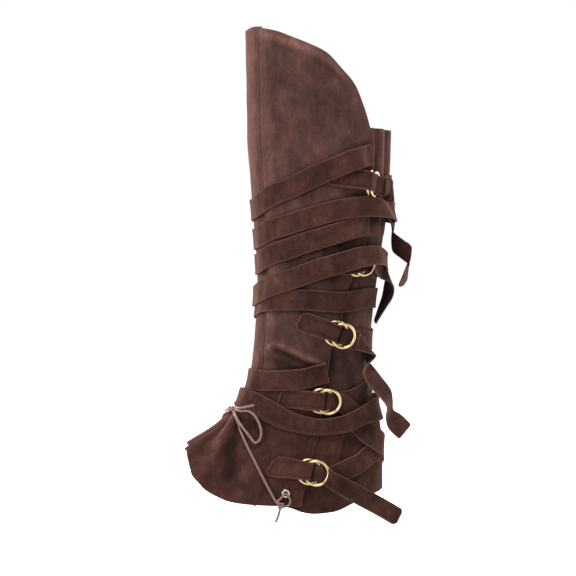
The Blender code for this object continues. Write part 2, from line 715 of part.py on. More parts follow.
for side, mirror in (("outer", 1), ("inner", -1)):
    def on(t, z, off, m=mirror):
        """A place on the vamp; the inner side mirrors the outer about the shin line."""
        return form(t if m > 0 else 360 - t, z, off)

    eye_t, eye_z = 88.0, -85.0
    seat = VAMP_REAR_TOP + 0.3
    washer("eyelet_" + side, eye_t if mirror > 0 else 360 - eye_t, eye_z, seat)
    kt, kz = 86.5, -98.0
    kc = on(kt, kz, seat + 2.6)
    up = Vector((0, 0, 1))
    knot("lace_knot_" + side, kc, up, axes(kt, kz)[0], (3.6, 2.9, 2.7))
    lace("lace_eye_" + side, [on(88.0, -85.0, seat + 1.7), on(87.9, -87.6, seat + 3.2),
                              on(87.6, -91, seat + 2.9), on(87.0, -93.4, seat + 2.7)],
         radius=1.2, spacing=2.0)
    lace("lace_tail_" + side, [kc + Vector((-0.6, 0, -4.2)), kc + Vector((-2.2, 0.3, -9)),
                               kc + Vector((-4.8, 0.5, -15.5))])
    strand = [(86, -93), (83, -80), (77, -64), (69, -49), (58, -36), (45, -25), (31, -16)]
    lift = LACE_RADIUS + 0.7
    pts = [on(t, z, vamp_low(t) + SPAT_WALL + lift + 2.4 * ease((t - 64) / 10))
           for t, z in strand]
    away = (pts[-1] - BOW).normalized()
    pts[0] = kc + (pts[1] - kc).normalized() * 4.6
    if mirror < 0:
        pts = pts[:-1] + [on(24, -17, HEEL_TOP + lift), on(9, -14, HEEL_TOP + lift)]
        away = (pts[-1] - BOW).normalized()
    pts.append(BOW + away * 6.6)
    lace("lace_strand_" + side, pts)

out_dir = axes(14, -7)[2]
side_dir = axes(14, -7)[0]
lace("bow_loop_outer", [at_bow(3.0, -5.6, 1.8), Vector((-86, -29, 0)),
                        Vector((-79, -38, -2)), Vector((-73, -45, -12)), Vector((-70, -49, -24)),
                        Vector((-72, -52, -32)), Vector((-78, -52, -33)), Vector((-84, -48, -26)),
                        Vector((-89, -38, -14)), at_bow(2.8, -6.4, -2.2, 5.4)])
lace("bow_end_outer", [at_bow(4.2, -3.0, 5.4, 5.9), Vector((-86, -25, 6)),
                       Vector((-79, -31, 7))])
lace("bow_loop_inner", [at_bow(-2.5, 5.4, 2.5), Vector((-104, 2, 3)),
                        Vector((-110, 10, -5)), Vector((-115, 14, -13)), Vector((-118, 11, -19)),
                        Vector((-117, 5, -19)), Vector((-112, 1, -11)),
                        at_bow(-4.9, 3.0, -3.2)])
lace("bow_end_inner", [at_bow(-4.6, 2.2, 4.6, 5.2), Vector((-106, -4, 5)),
                       Vector((-110, -2, -1)), Vector((-113, -1, -7))])
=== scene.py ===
"""Boot cover in dark brown suede: panels, straps, rings, stitches and lace.

World frame in metres: +Z up the leg, -X toward the toe, -Y the outer side.
Shapes are worked out in millimetres and stored in the meshes in metres.
"""
import bpy
import bmesh
import math
from mathutils import Matrix, Vector, noise


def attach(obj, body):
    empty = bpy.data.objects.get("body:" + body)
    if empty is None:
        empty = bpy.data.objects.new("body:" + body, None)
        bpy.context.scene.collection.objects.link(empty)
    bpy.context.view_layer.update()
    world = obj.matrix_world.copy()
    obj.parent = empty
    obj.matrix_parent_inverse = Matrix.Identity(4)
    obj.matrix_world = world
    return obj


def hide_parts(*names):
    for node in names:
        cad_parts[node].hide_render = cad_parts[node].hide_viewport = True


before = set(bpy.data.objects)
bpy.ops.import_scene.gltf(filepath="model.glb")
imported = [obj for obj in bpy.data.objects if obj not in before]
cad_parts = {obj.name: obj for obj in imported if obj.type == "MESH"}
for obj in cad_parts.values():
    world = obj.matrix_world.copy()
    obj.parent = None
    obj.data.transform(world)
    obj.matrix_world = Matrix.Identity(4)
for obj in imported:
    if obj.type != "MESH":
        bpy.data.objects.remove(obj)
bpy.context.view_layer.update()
MM = 0.001

# ------------------------------------------------------------------ camera
turn = math.radians(-12)
across_view = Vector((math.cos(turn), math.sin(turn), 0))
into_view = Vector((-math.sin(turn), math.cos(turn), 0))
aim = across_view * -0.0315 + Vector((0, 0, 0.12285))
camera_data = bpy.data.cameras.new("camera")
camera_data.lens = 95.25
camera_data.sensor_width = 36
camera_data.clip_end = 100
camera = bpy.data.objects.new("camera", camera_data)
camera.location = aim - into_view * 1.6
camera.rotation_euler = into_view.to_track_quat("-Z", "Y").to_euler()
bpy.context.scene.collection.objects.link(camera)
bpy.context.scene.camera = camera

# ------------------------------------------------------------------ sizes in mm
PANEL_WALL = 1.8
STRAP_WALL = 1.6        # straps and tabs
SPAT_WALL = 1.6         # vamp, heel piece and ankle band
UNDER_WALL = 1.4
STRAP_WIDTH = 21.0
END_WIDTH = 20.0        # a strap's free end
GATHERED = 3.0          # taken off that width where it leaves the ring
TAB_WIDTH = 20.0
RING_MAJOR = 12.1       # to the middle of the wire
RING_WIRE = 1.4         # radius
RING_SHIFT = 7.0        # rear ring of a pair, back from the front one
REAR_RISE = 3.8         # of a rear ring off its buckle's plane
FRONT_RISE = (6.2, 8.7)     # of a front ring: by its tab, by the strap
LACE_RADIUS = 1.35
EYE_LACE_RADIUS = 1.15  # where it is drawn through the eyelet
KNOT_LACE_RADIUS = 1.25
EYELET_MAJOR = 3.2      # to the middle of the rim
EYELET_RIM = 1.0        # radius

# Seams, in degrees round the form.
SEAM_T = 26.0           # down the shin
RIDGE_T = 11.0          # between the vamp halves
RIDGE_LAP = 0.8         # each vamp half passes the ridge by more than its soft edge

# How far faces stand off the form.
INNER_TOP = 1.8
OUTER_TOP = 4.0
HEEL_LOW, HEEL_TOP = 4.6, 6.2
UNDER_TOP = 8.0
VAMP_REAR_LOW, VAMP_REAR_TOP = 8.4, 10.0

# Level sections of the body form:
# height, front x, back x, x of the widest place, half width, squareness of the back
SECTIONS = [
    (400, -75, 75, 0, 60, 2.0),
    (290, -73, 76, 0, 60, 2.0),
    (215, -68, 72, 0, 58, 2.0),
    (130, -62, 60, -2, 54, 2.0),
    (60, -66, 53, -8, 48, 2.0),
    (5, -78, 54, -12, 40, 2.1),
    (-22, -104, 60, -20, 39, 2.3),
    (-45, -141, 61, -32, 41, 2.5),
    (-80, -188, 61, -40, 44, 2.5),
    (-118, -221, 60, -44, 46, 2.5),
]


# ------------------------------------------------------------------ the form
def spline(points, x):
    """Smooth curve through (x, y) points that never overshoots them."""
    xs = [p[0] for p in points]
    ys = [p[1] for p in points]
    if x <= xs[0]:
        return ys[0]
    if x >= xs[-1]:
        return ys[-1]
    i = 0
    while x > xs[i + 1]:
        i += 1

    def slope(k):
        if k == 0:
            return (ys[1] - ys[0]) / (xs[1] - xs[0])
        if k == len(xs) - 1:
            return (ys[-1] - ys[-2]) / (xs[-1] - xs[-2])
        a = (ys[k] - ys[k - 1]) / (xs[k] - xs[k - 1])
        b = (ys[k + 1] - ys[k]) / (xs[k + 1] - xs[k])
        return 0.0 if a * b <= 0 else 2 * a * b / (a + b)

    h = xs[i + 1] - xs[i]
    q = (x - xs[i]) / h
    return ((2 * q**3 - 3 * q**2 + 1) * ys[i] + (q**3 - 2 * q**2 + q) * h * slope(i)
            + (3 * q**2 - 2 * q**3) * ys[i + 1] + (q**3 - q**2) * h * slope(i + 1))


LEVELS = []
for level in range(-160, 451):
    LEVELS.append([spline(sorted((s[0], s[k]) for s in SECTIONS), level) for k in range(1, 6)])


def raw(t, z):
    """A place on the form: degrees round it from the front by the outer side, and height."""
    q = min(max(z + 160.0, 0.0), 609.999)
    i = int(q)
    q -= i
    front, back, mid, half, square = (a + (b - a) * q for a, b in zip(LEVELS[i], LEVELS[i + 1]))
    a = math.radians(t)
    c, s = math.cos(a), math.sin(a)
    n = 2.0 if c > 0 else square
    reach = mid - front if c > 0 else back - mid
    return Vector((mid - reach * math.copysign(abs(c) ** (2 / n), c),
                   -half * math.copysign(abs(s) ** (2 / n), s), z))


def axes(t, z):
    """Unit directions at a place on the form: round it, up it and out of it."""
    round_dir = (raw(t + 1, z) - raw(t - 1, z))
    up = (raw(t, z + 1) - raw(t, z - 1))
    out = round_dir.cross(up).normalized()
    return round_dir.normalized(), up.normalized(), out


def form(t, z, off=0.0):
    """A place this far out of the form."""
    return raw(t, z) + axes(t, z)[2] * off


def per_degree(t, z):
    """Length of one degree round the form."""
    return (raw(t + 1, z) - raw(t - 1, z)).length / 2


def ease(x):
    x = min(1.0, max(0.0, x))
    return x * x * (3 - 2 * x)


def wrap(t):
    return t % 360.0


def wander(x, y, seed):
    """Smooth unevenness from -1 to 1."""
    return noise.noise(Vector((x, y, seed)))


# ------------------------------------------------------------------ edges of the cut
OUTER_TOP_EDGE = [(20, 391), (45, 384), (59, 377), (74, 369), (86, 361), (98, 345),
                  (108, 330), (114, 314), (119, 298), (123, 283), (128, 269)]
OUTER_BACK_EDGE = [(20, 96), (40, 98), (64, 99), (81, 104), (99, 107), (122, 109),
                   (138, 115), (172, 124), (223, 126), (269, 128)]
INNER_TOP_EDGE = [(110, 287), (150, 287), (200, 288), (288, 289), (300, 303), (312, 328),
                  (328, 350), (338, 370), (345, 385), (352, 391.5), (362, 390.5),
                  (375, 391.5), (392, 390)]
VAMP_HEM = [(0, -43), (12, -46), (17, -47), (29, -54), (38, -62), (44, -69), (50, -75),
            (54, -80), (61, -87), (68, -93), (76, -96), (85, -97.5), (99, -99)]
INNER_VAMP_HEM = [(0, -42), (10, -41.5), (17, -42.5), (25, -46), (35, -51.5), (45, -61),
                  (50, -67), (55, -73.5), (60, -80), (65, -85.5), (70, -90), (76, -93.5),
                  (85, -96.5), (99, -99)]
HEEL_HEM = [(80, -94), (90, -100), (95, -105), (101, -107), (111, -106), (127, -98),
            (150, -90), (180, -86), (210, -90), (233, -98), (249, -106), (259, -107),
            (265, -105), (270, -100), (280, -94)]
LEG_FOOT = [(0, 10), (18, 10), (43, 4), (57, 0), (78, -9), (96, -14), (120, -14)]
INNER_FOOT = [(80, -10), (96, -14), (115, -13), (130, -6), (137, 2), (143, 17), (155, 25),
              (195, 28), (215, 20), (235, 0), (250, -10), (264, -14), (282, -9), (303, 0),
              (317, 4), (342, 10), (392, 10)]
BAND_TOP = [(11, 17), (24, 16.5), (37, 13.4), (49, 8.8), (59, 3), (69, -1.9), (78, -5.6),
            (95, -9.4), (109, -7), (118, -3.5), (129, 1.4), (149, 9.5), (180, 12)]
BAND_LOW = [(11, -3), (41, -9), (60, -16.5), (77, -22.5), (95, -27.4), (110, -26), (117, -23.8),
            (122, -21.5), (133, -17.5), (171, -16), (180, -15)]
BAND_OUTER_SIDE = [(0, 6.8), (56, 6.8), (80, 10.6), (102, 10.8), (111, 12.6), (122, 12.8),
                   (150, 12.2), (172, 7.8), (182, 6.8)]
BAND_INNER_SIDE = [(0, 6.8), (56, 6.8), (80, 10.6), (97, 10.6), (118, 6.8), (180, 6.8)]


def from_front(t):
    """Degrees from the front, by either side."""
    t = wrap(t)
    return t if t <= 180 else 360 - t


def mirrored(curve, t):
    """An edge that is the same on both sides of the foot."""
    return spline(curve, from_front(t))


def outer_back(z):
    return spline(OUTER_BACK_EDGE, z)


def leg_top(t, z):
    """How far the smooth leg stands off the form."""
    t = wrap(t)
    back = outer_back(z)
    if SEAM_T <= t <= back:
        return OUTER_TOP
    gap = min((t - back) % 360, (SEAM_T - t) % 360)
    return OUTER_TOP - (OUTER_TOP - INNER_TOP) * ease((gap - 5) / 18)


def vamp_low(t):
    t = wrap(t)
    t = t if t <= 180 else 360 - t
    return HEEL_LOW + (VAMP_REAR_LOW - HEEL_LOW) * ease((t - 56) / 26)


def band_low(t):
    t = wrap(t)
    return spline(BAND_OUTER_SIDE, t) if t <= 180 else spline(BAND_INNER_SIDE, 360 - t)


def heel_ground(t):
    t = wrap(t)
    return HEEL_TOP + (VAMP_REAR_TOP - HEEL_TOP) * ease((132 - t) / 16)


# Folds, as lines over the form: places (degrees round, height), half width, rise.
LEG_FOLDS = [
    ([(31, 384), (31, 300), (31, 160), (31, 96)], 3.0, 0.9),
    ([(40.6, 254), (40.6, 226)], 3.2, 1.0),
    ([(36, 62), (44, 66), (58, 61), (73, 53.5), (92, 47)], 2.6, 3.0),
    ([(42, 60), (58, 55), (73, 47.5), (88, 42)], 2.8, -2.2),
    ([(36, 50), (54, 45), (70, 40)], 6.0, -1.8),
    ([(30, 96), (30, 76), (31, 56)], 4.0, 1.1),
    ([(42, 100), (45, 80)], 5.0, -0.8),
    ([(96, 205), (104, 150)], 8.0, -0.8),
    ([(60, 330), (76, 300)], 22.0, -0.8),
    ([(80, 250), (72, 290)], 14.0, 0.6),
]
CALF_FOLDS = [
    ([(131, 289), (131, 250), (134, 210)], 3.2, -1.5),
    ([(138, 289), (139, 240), (141, 190)], 3.4, 1.4),
    ([(146, 289), (147, 250), (150, 205)], 3.2, -1.6),
    ([(155, 289), (157, 240), (158, 180)], 4.2, 1.5),
    ([(170, 288), (172, 240), (168, 190)], 5.0, -1.5),
    ([(186, 288), (186, 230), (182, 180)], 5.0, 1.4),
    ([(206, 288), (208, 250)], 5.0, -1.3),
    ([(226, 289), (224, 240)], 6.0, 1.3),
    ([(250, 290), (250, 250)], 6.0, -1.2),
    ([(275, 290), (272, 255), (270, 230)], 6.0, 1.2),
    ([(118, 60), (124, 30), (128, 8)], 6.0, -1.2),
    ([(133, 70), (140, 40), (146, 22)], 4.5, 1.6),
    ([(150, 60), (152, 30)], 4.0, -1.2),
    ([(200, 64), (214, 50), (230, 44)], 6.0, 1.6),
    ([(262, 60), (286, 56), (304, 62)], 6.0, 1.8),
    ([(266, 46), (290, 42), (306, 48)], 8.0, -1.8),
    ([(318, 100), (320, 70), (318, 48)], 6.0, 1.2),
    ([(330, 330), (322, 290)], 12.0, -1.0),
    ([(296, 250), (300, 215)], 9.0, 1.0),
]
VAMP_FOLDS = [
    ([(21, -13), (25, -19), (35, -32), (44, -46), (46.5, -63), (47, -74)], 3.8, 3.0),
    ([(28, -15), (35, -23), (44, -33), (52, -44), (60, -58), (63, -70)], 3.6, -2.6),
    ([(18, -20), (25, -34), (31, -48)], 4.6, -1.8),
    ([(40, -22), (53, -34), (68, -54), (70, -70)], 4.6, 1.1),
    ([(60, -30), (82, -50), (86, -74)], 6.0, 0.7),
    ([(56, -92), (70, -90)], 6.0, 0.8),
]
HEEL_FOLDS = [
    ([(126, -52), (130, -70), (128, -90)], 6.0, 0.9),
    ([(144, -48), (146, -74)], 6.0, -0.9),
    ([(168, -30), (170, -60), (166, -84)], 6.0, 1.0),
    ([(192, -40), (190, -80)], 7.0, -0.8),
    ([(216, -34), (222, -64), (220, -90)], 6.0, 1.0),
    ([(240, -50), (244, -80)], 6.0, -0.8),
]


def prepared(folds):
    out = []
    for places, width, rise in folds:
        t0, z0 = places[0]
        line = [((t - t0) * 0.97, z - z0) for t, z in places]
        xs, ys = [p[0] for p in line], [p[1] for p in line]
        pad = width * 2.2
        out.append((t0, z0, line, width, rise,
                    min(xs) - pad, max(xs) + pad, min(ys) - pad, max(ys) + pad))
    return out


def fold_height(folds, t, z):
    total = 0.0
    for t0, z0, line, width, rise, x0, x1, y0, y1 in folds:
        x = ((t - t0 + 180) % 360 - 180) * 0.97
        y = z - z0
        if not (x0 < x < x1 and y0 < y < y1):
            continue
        best = 1e9
        for (ax, ay), (bx, by) in zip(line, line[1:]):
            dx, dy = bx - ax, by - ay
            q = max(0.0, min(1.0, ((x - ax) * dx + (y - ay) * dy) / (dx * dx + dy * dy)))
            best = min(best, (x - ax - dx * q) ** 2 + (y - ay - dy * q) ** 2)
        total += rise * math.exp(-best / (width * width))
    return total


LEG_FOLDS, CALF_FOLDS = prepared(LEG_FOLDS), prepared(CALF_FOLDS)
VAMP_FOLDS, HEEL_FOLDS = prepared(VAMP_FOLDS), prepared(HEEL_FOLDS)


def leg_folds(t, z):
    t = wrap(t)
    slack = 0.55 * wander(t / 17, z / 34, 1.7) + 0.25 * wander(t / 7, z / 15, 4.1)
    return fold_height(LEG_FOLDS, t, z) + fold_height(CALF_FOLDS, t, z) + slack


def leg_surface(t, z):
    return leg_top(t, z) + max(0.0, leg_folds(t, z))


def vamp_folds(t, z):
    t = wrap(t)
    folded = t if t <= 180 else 360 - t
    calm = 1.0 - 0.75 * ease((folded - 70) / 14)
    return (fold_height(VAMP_FOLDS, folded, z)
            + 0.5 * wander(t / 12, z / 16, 2.0) * ease(folded / 8)) * calm


def vamp_surface(t, z):
    return vamp_low(t) + SPAT_WALL + vamp_folds(t, z)


def spat_surface(t, z):
    """Outside of the spat: the vamp's rear part, and the heel piece behind its edge."""
    return heel_ground(t) + (vamp_folds(t, z) if t < 97 else 0.0)


def heel_folds(t, z):
    calm = ease((t - 104) / 12) * ease((256 - t) / 12)
    return calm * (fold_height(HEEL_FOLDS, t, z) + 0.3 * wander(t / 11, z / 15, 3.0))


# ------------------------------------------------------------------ finishes
def group_socket(tree, name, kind, out=False, value=None):
    sock = tree.interface.new_socket(
        name=name, in_out="OUTPUT" if out else "INPUT", socket_type=kind)
    if value is not None:
        sock.default_value = value
    return sock


def feed(link, value, socket):
    """Gives a socket a plain value or another socket's."""
    if isinstance(value, bpy.types.NodeSocket):
        link(value, socket)
    else:
        socket.default_value = value


def remap(n, link, value, low, high, start=0.0, stop=1.0):
    """Carries a value from between start and stop to between low and high."""
    node = n.new("ShaderNodeMapRange")
    for name, limit in (("From Min", start), ("From Max", stop), ("To Min", low), ("To Max", high)):
        node.inputs[name].default_value = limit
    link(value, node.inputs["Value"])
    return node.outputs[0]


def blend(n, link, factor, a, b, kind="MIX"):
    """One colour laid over another."""
    node = n.new("ShaderNodeMix")
    node.data_type = "RGBA"
    node.blend_type = kind
    for value, socket in ((factor, node.inputs[0]), (a, node.inputs[6]), (b, node.inputs[7])):
        feed(link, value, socket)
    return node.outputs[2]


def ramp(n, link, value, first, last, middle=None):
    """Colours along a value."""
    node = n.new("ShaderNodeValToRGB")
    for end, tone in zip(node.color_ramp.elements, (first, last)):
        end.color = (*tone, 1)
    if middle:
        node.color_ramp.elements.new(0.48).color = (*middle, 1)
    link(value, node.inputs["Fac"])
    return node.outputs["Color"]


def painted(n, name):
    """Strength of one of the cloth's own attributes."""
    node = n.new("ShaderNodeAttribute")
    node.attribute_name = name
    return node.outputs["Fac"]


def nap_group():
    """Brushed suede: broad mottling, brush strokes, fine nap and a height for the bump."""
    tree = bpy.data.node_groups.new("suede_nap", "ShaderNodeTree")
    group_socket(tree, "Place", "NodeSocketVector")
    group_socket(tree, "Mottle size", "NodeSocketFloat", value=1.0)
    group_socket(tree, "Nap size", "NodeSocketFloat", value=1.0)
    for name in ("Mottle", "Nap", "Height"):
        group_socket(tree, name, "NodeSocketFloat", out=True)
    n, link = tree.nodes, tree.links.new
    inp, outp = n.new("NodeGroupInput"), n.new("NodeGroupOutput")

    def sized(which, size):
        m = n.new("ShaderNodeMath")
        m.operation = "DIVIDE"
        m.inputs[0].default_value = size
        link(inp.outputs[which], m.inputs[1])
        return m.outputs[0]

    def texture(scale, detail, rough, stretch=None):
        tex = n.new("ShaderNodeTexNoise")
        tex.inputs["Detail"].default_value = detail
        tex.inputs["Roughness"].default_value = rough
        link(scale, tex.inputs["Scale"])
        if stretch:
            m = n.new("ShaderNodeMapping")
            m.inputs["Scale"].default_value = stretch
            link(inp.outputs["Place"], m.inputs["Vector"])
            link(m.outputs[0], tex.inputs["Vector"])
        else:
            link(inp.outputs["Place"], tex.inputs["Vector"])
        return tex.outputs["Fac"]

    def weigh(parts):
        total = None
        for value, weight in parts:
            m = n.new("ShaderNodeMath")
            m.operation = "MULTIPLY_ADD"
            m.inputs[1].default_value = weight
            m.inputs[2].default_value = 0.0
            link(value, m.inputs[0])
            if total is not None:
                link(total, m.inputs[2])
            total = m.outputs[0]
        return total

    broad = texture(sized("Mottle size", 24.0), 5.0, 0.6)
    patch = texture(sized("Mottle size", 95.0), 5.0, 0.65)
    stroke = texture(sized("Mottle size", 150.0), 3.0, 0.6, (1.0, 1.0, 0.3))
    nap = texture(sized("Nap size", 950.0), 3.0, 0.7)
    fluff = texture(sized("Nap size", 330.0), 4.0, 0.7)
    mottle = weigh([(broad, 0.40), (patch, 0.32), (stroke, 0.28)])
    link(remap(n, link, mottle, 0.0, 1.0, 0.36, 0.64), outp.inputs["Mottle"])
    link(weigh([(nap, 0.6), (fluff, 0.4)]), outp.inputs["Nap"])
    link(weigh([(nap, 0.45), (fluff, 0.35), (patch, 0.9)]), outp.inputs["Height"])
    return tree


NAP = nap_group()


def new_material(name):
    m = bpy.data.materials.new(name)
    m.use_nodes = True
    return m, m.node_tree.nodes, m.node_tree.links.new, m.node_tree.nodes["Principled BSDF"]


def suede(name, dark, mid, light, edge_rub_and_highlight, mottle_size=1.0, rough=0.9, sheen=0.13,
          turned=None, bump=0.45, gloss=0.03):
    """Napped leather: dark, mid and light mottling, made lighter or darker by a painted value
    (random tone of the nap, with painted light and shade), and lighter edges for rubbed wear and a
    painted highlight.
    """
    m, n, link, shader = new_material(name)
    nap = n.new("ShaderNodeGroup")
    nap.node_tree = NAP
    nap.inputs["Mottle size"].default_value = mottle_size
    link(n.new("ShaderNodeTexCoord").outputs["Object"], nap.inputs["Place"])
    mottle = nap.outputs["Mottle"]
    colour = ramp(n, link, mottle, dark, light, mid)
    if turned:
        # Turned parts show the suede side: the same unevenness in the suede's colour.
        suede_side = ramp(n, link, mottle, turned[0], turned[2])
        colour = blend(n, link, painted(n, "turned"), colour, suede_side)
    fibre = remap(n, link, nap.outputs["Nap"], 0.62, 1.4, 0.3, 0.7)
    colour = blend(n, link, 1.0, colour, fibre, "MULTIPLY")
    # Made lighter or darker by the cloth's painted value: random tone of the nap, with painted
    # light and shade.
    lighter = n.new("ShaderNodeMath")
    lighter.operation = "ADD"
    lighter.inputs[1].default_value = 1.0
    link(painted(n, "tone_and_painted_light"), lighter.inputs[0])
    colour = blend(n, link, 1.0, colour, lighter.outputs[0], "MULTIPLY")
    # Edges lighter within 1.5 mm: rubbed wear and a painted highlight of lit edges.
    wear_and_painted_light = remap(n, link, painted(n, "edge"), 0.8, 0.0, 0.2, 1.5)
    link(blend(n, link, wear_and_painted_light, colour, (*edge_rub_and_highlight, 1)), shader.inputs["Base Color"])
    relief = n.new("ShaderNodeBump")
    relief.inputs["Strength"].default_value = bump
    relief.inputs["Distance"].default_value = 0.0006
    link(nap.outputs["Height"], relief.inputs["Height"])
    link(relief.outputs[0], shader.inputs["Normal"])
    shader.inputs["Roughness"].default_value = rough
    shader.inputs["Specular IOR Level"].default_value = gloss
    shader.inputs["Sheen Weight"].default_value = sheen
    shader.inputs["Sheen Roughness"].default_value = 0.45
    shader.inputs["Sheen Tint"].default_value = (1.0, 0.52, 0.42, 1)
    return m


def metal(name, colour, rough, scratch):
    """Polished metal, with uneven wear."""
    m, n, link, shader = new_material(name)
    tex = n.new("ShaderNodeTexNoise")
    tex.inputs["Scale"].default_value = 420
    tex.inputs["Detail"].default_value = 4
    link(n.new("ShaderNodeTexCoord").outputs["Object"], tex.inputs["Vector"])
    uneven = tex.outputs["Fac"]
    link(remap(n, link, uneven, rough - scratch, rough + scratch), shader.inputs["Roughness"])
    dull = tuple(c * 0.88 for c in colour)
    link(blend(n, link, uneven, (*dull, 1), (*colour, 1)), shader.inputs["Base Color"])
    shader.inputs["Metallic"].default_value = 1.0
    return m


def tones(mid, dark=0.68, light=1.5):
    """Dark, middle and light tone of one colour."""
    return tuple(tuple(c * k for c in mid) for k in (dark, 1.0, light))


PANEL = suede("panel_suede", *tones((0.0495, 0.0243, 0.0199)), (0.080, 0.043, 0.034))
SPAT = suede("spat_suede", *tones((0.0325, 0.0136, 0.0107)), (0.072, 0.033, 0.025))
STRAP = suede("strap_suede", *tones((0.0328, 0.0142, 0.0110)), (0.070, 0.033, 0.025),
              mottle_size=0.8)
# Cut edges are lighter than the faces: partly the cut's own colour, partly a painted highlight of
# lit edges.
CUT = suede("cut_edge", *tones((0.078, 0.0380, 0.0300)), (0.085, 0.042, 0.033),
            mottle_size=0.3, bump=0.6)
CHARCOAL = tones((0.0125, 0.0105, 0.0108), 0.6, 1.7)
FLESH = suede("flesh_side", *CHARCOAL, (0.030, 0.021, 0.018), mottle_size=0.7, sheen=0.06)
TURNED = suede("strap_reverse", *CHARCOAL, (0.030, 0.021, 0.018), mottle_size=0.7,
               sheen=0.08, turned=tones((0.0328, 0.0142, 0.0110)))
LINING = suede("panel_reverse", *tones((0.022, 0.0125, 0.0105)), (0.034, 0.021, 0.018),
               mottle_size=0.7, sheen=0.08)
THREAD = suede("thread", *tones((0.042, 0.0195, 0.0152)), (0.05, 0.024, 0.019),
               mottle_size=0.2, rough=0.6, bump=0.2, gloss=0.2)
LACE = suede("lace_leather", *tones((0.090, 0.050, 0.043), 0.6, 1.5), (0.15, 0.09, 0.08),
             mottle_size=0.25, rough=0.5, sheen=0.12, bump=0.3, gloss=0.25)
BRASS = metal("brass", (0.62, 0.47, 0.25), 0.30, 0.03)
NICKEL = metal("nickel", (0.66, 0.65, 0.62), 0.22, 0.06)


# ------------------------------------------------------------------ cloth from rows
def deselect():
    bpy.ops.object.select_all(action="DESELECT")


def apply_modifiers(piece):
    deselect()
    bpy.context.view_layer.objects.active = piece
    piece.select_set(True)
    for mod in list(piece.modifiers):
        bpy.ops.object.modifier_apply(modifier=mod.name)


def smooth_shaded(mesh):
    for poly in mesh.polygons:
        poly.use_smooth = True


def dress(piece, node):
    """A piece rides the one body and takes a solid's place: the solid is hidden."""
    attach(piece, "root")
    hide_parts(node)


def turned_to(a, b, c):
    """Turns X, Y and Z to three directions."""
    return Matrix((a, b, c)).transposed().to_4x4()


def patches(p):
    """Uneven brushing of the nap over a piece."""
    return 0.42 * noise.noise(p / 24) + 0.22 * noise.noise(p / 8)


def cloth(name, rows, wall, node, out_hint, finishes, offset=-1.0, turned_rows=(0, 0),
          soft_edge=0.4, tone_and_painted_light=None):
    """A grid laid on rows of places (mm), given its wall, its cut edges and a small bevel."""
    n, m = len(rows) - 1, len(rows[0]) - 1
    deselect()
    bpy.ops.mesh.primitive_grid_add(x_subdivisions=n, y_subdivisions=m, size=1)
    piece = bpy.context.object
    piece.name = name
    me = piece.data
    me.name = name
    mid_i, mid_j = n // 2, m // 2
    a = rows[mid_i + 1][mid_j] - rows[mid_i][mid_j]
    b = rows[mid_i][mid_j + 1] - rows[mid_i][mid_j]
    if a.cross(b).dot(out_hint) < 0:
        rows = [row[::-1] for row in rows]
        tone_and_painted_light = tone_and_painted_light and [row[::-1] for row in tone_and_painted_light]
    along, side = [0.0], [0.0]
    for i in range(n):
        along.append(along[-1] + (rows[i + 1][mid_j] - rows[i][mid_j]).length)
    for j in range(m):
        side.append(side[-1] + (rows[mid_i][j + 1] - rows[mid_i][j]).length)
    edge = me.attributes.new("edge", "FLOAT", "POINT")
    turned = me.attributes.new("turned", "FLOAT", "POINT")
    # Painted value: random tone of the nap, with painted light and shade where a piece is given
    # them.
    nap = me.attributes.new("tone_and_painted_light", "FLOAT", "POINT")
    spots = []
    for v in me.vertices:
        i, j = round((v.co.x + 0.5) * n), round((v.co.y + 0.5) * m)
        spots.append((i, j))
        v.co = rows[i][j] * MM
        near = min((rows[i][j] - rows[i][0]).length, (rows[i][j] - rows[i][m]).length,
                   along[i], along[n] - along[i])
        edge.data[v.index].value = near
        first, last = turned_rows
        turned.data[v.index].value = 1.0 if first < last and first <= i <= last else 0.0
        nap.data[v.index].value = tone_and_painted_light[i][j] if tone_and_painted_light else patches(rows[i][j])
    uv = me.uv_layers.active.data
    for loop in me.loops:
        i, j = spots[loop.vertex_index]
        uv[loop.index].uv = (along[i] * MM, side[j] * MM)
    for finish in finishes:
        me.materials.append(finish)
    wall_mod = piece.modifiers.new("wall", "SOLIDIFY")
    wall_mod.thickness = wall * MM
    wall_mod.offset = offset
    wall_mod.material_offset = 1
    wall_mod.material_offset_rim = 2
    if soft_edge:
        bevel = piece.modifiers.new("soft edge", "BEVEL")
        bevel.width = soft_edge * MM
        bevel.segments = 2
        bevel.limit_method = "ANGLE"
        bevel.angle_limit = math.radians(55)
    apply_modifiers(piece)
    smooth_shaded(piece.data)
    dress(piece, node)
    return piece


def panel_rows(place, height, nu, nv):
    rows = []
    for i in range(nu + 1):
        row = []
        for j in range(nv + 1):
            t, z = place(i / nu, j / nv)
            row.append(form(t, z, height(t, z)))
        rows.append(row)
    return rows


def tone_and_light_rows(place, nap, nu, nv):
    """Painted lightening (+) or darkening (-) over the same grid as the rows: random tone of the
    nap, with painted light and shade.
    """
    return [[nap(*place(i / nu, j / nv)) for j in range(nv + 1)] for i in range(nu + 1)]


def area_of(rows):
    total = 0.0
    for a, b in zip(rows, rows[1:]):
        for j in range(len(a) - 1):
            total += ((b[j] - a[j]).cross(a[j + 1] - a[j])).length
    return total * MM * MM


def length_of(line):
    return sum((b - a).length for a, b in zip(line, line[1:])) * MM


def cut_of(rows):
    """Works out the width, length and area of the flat piece that a cloth's rows lay out to."""
    width = max(length_of(row) for row in rows)
    length = max(length_of([row[j] for row in rows]) for j in range(len(rows[0])))
    area = min(area_of(rows), width * length)


# ------------------------------------------------------------------ stitches
stitch_places = []


def stitch_line(points, outs, pitch=3.1, lift=0.12):
    """Evenly spaced stitches along a line of places (mm) with outward directions."""
    travelled, target = 0.0, pitch / 2
    for k in range(len(points) - 1):
        a, b = points[k], points[k + 1]
        run = (b - a).length
        while run > 1e-6 and travelled + run >= target:
            q = (target - travelled) / run
            out = (outs[k] * (1 - q) + outs[k + 1] * q).normalized()
            stitch_places.append((a.lerp(b, q) + out * lift, (b - a).normalized(), out))
            target += pitch
        travelled += run


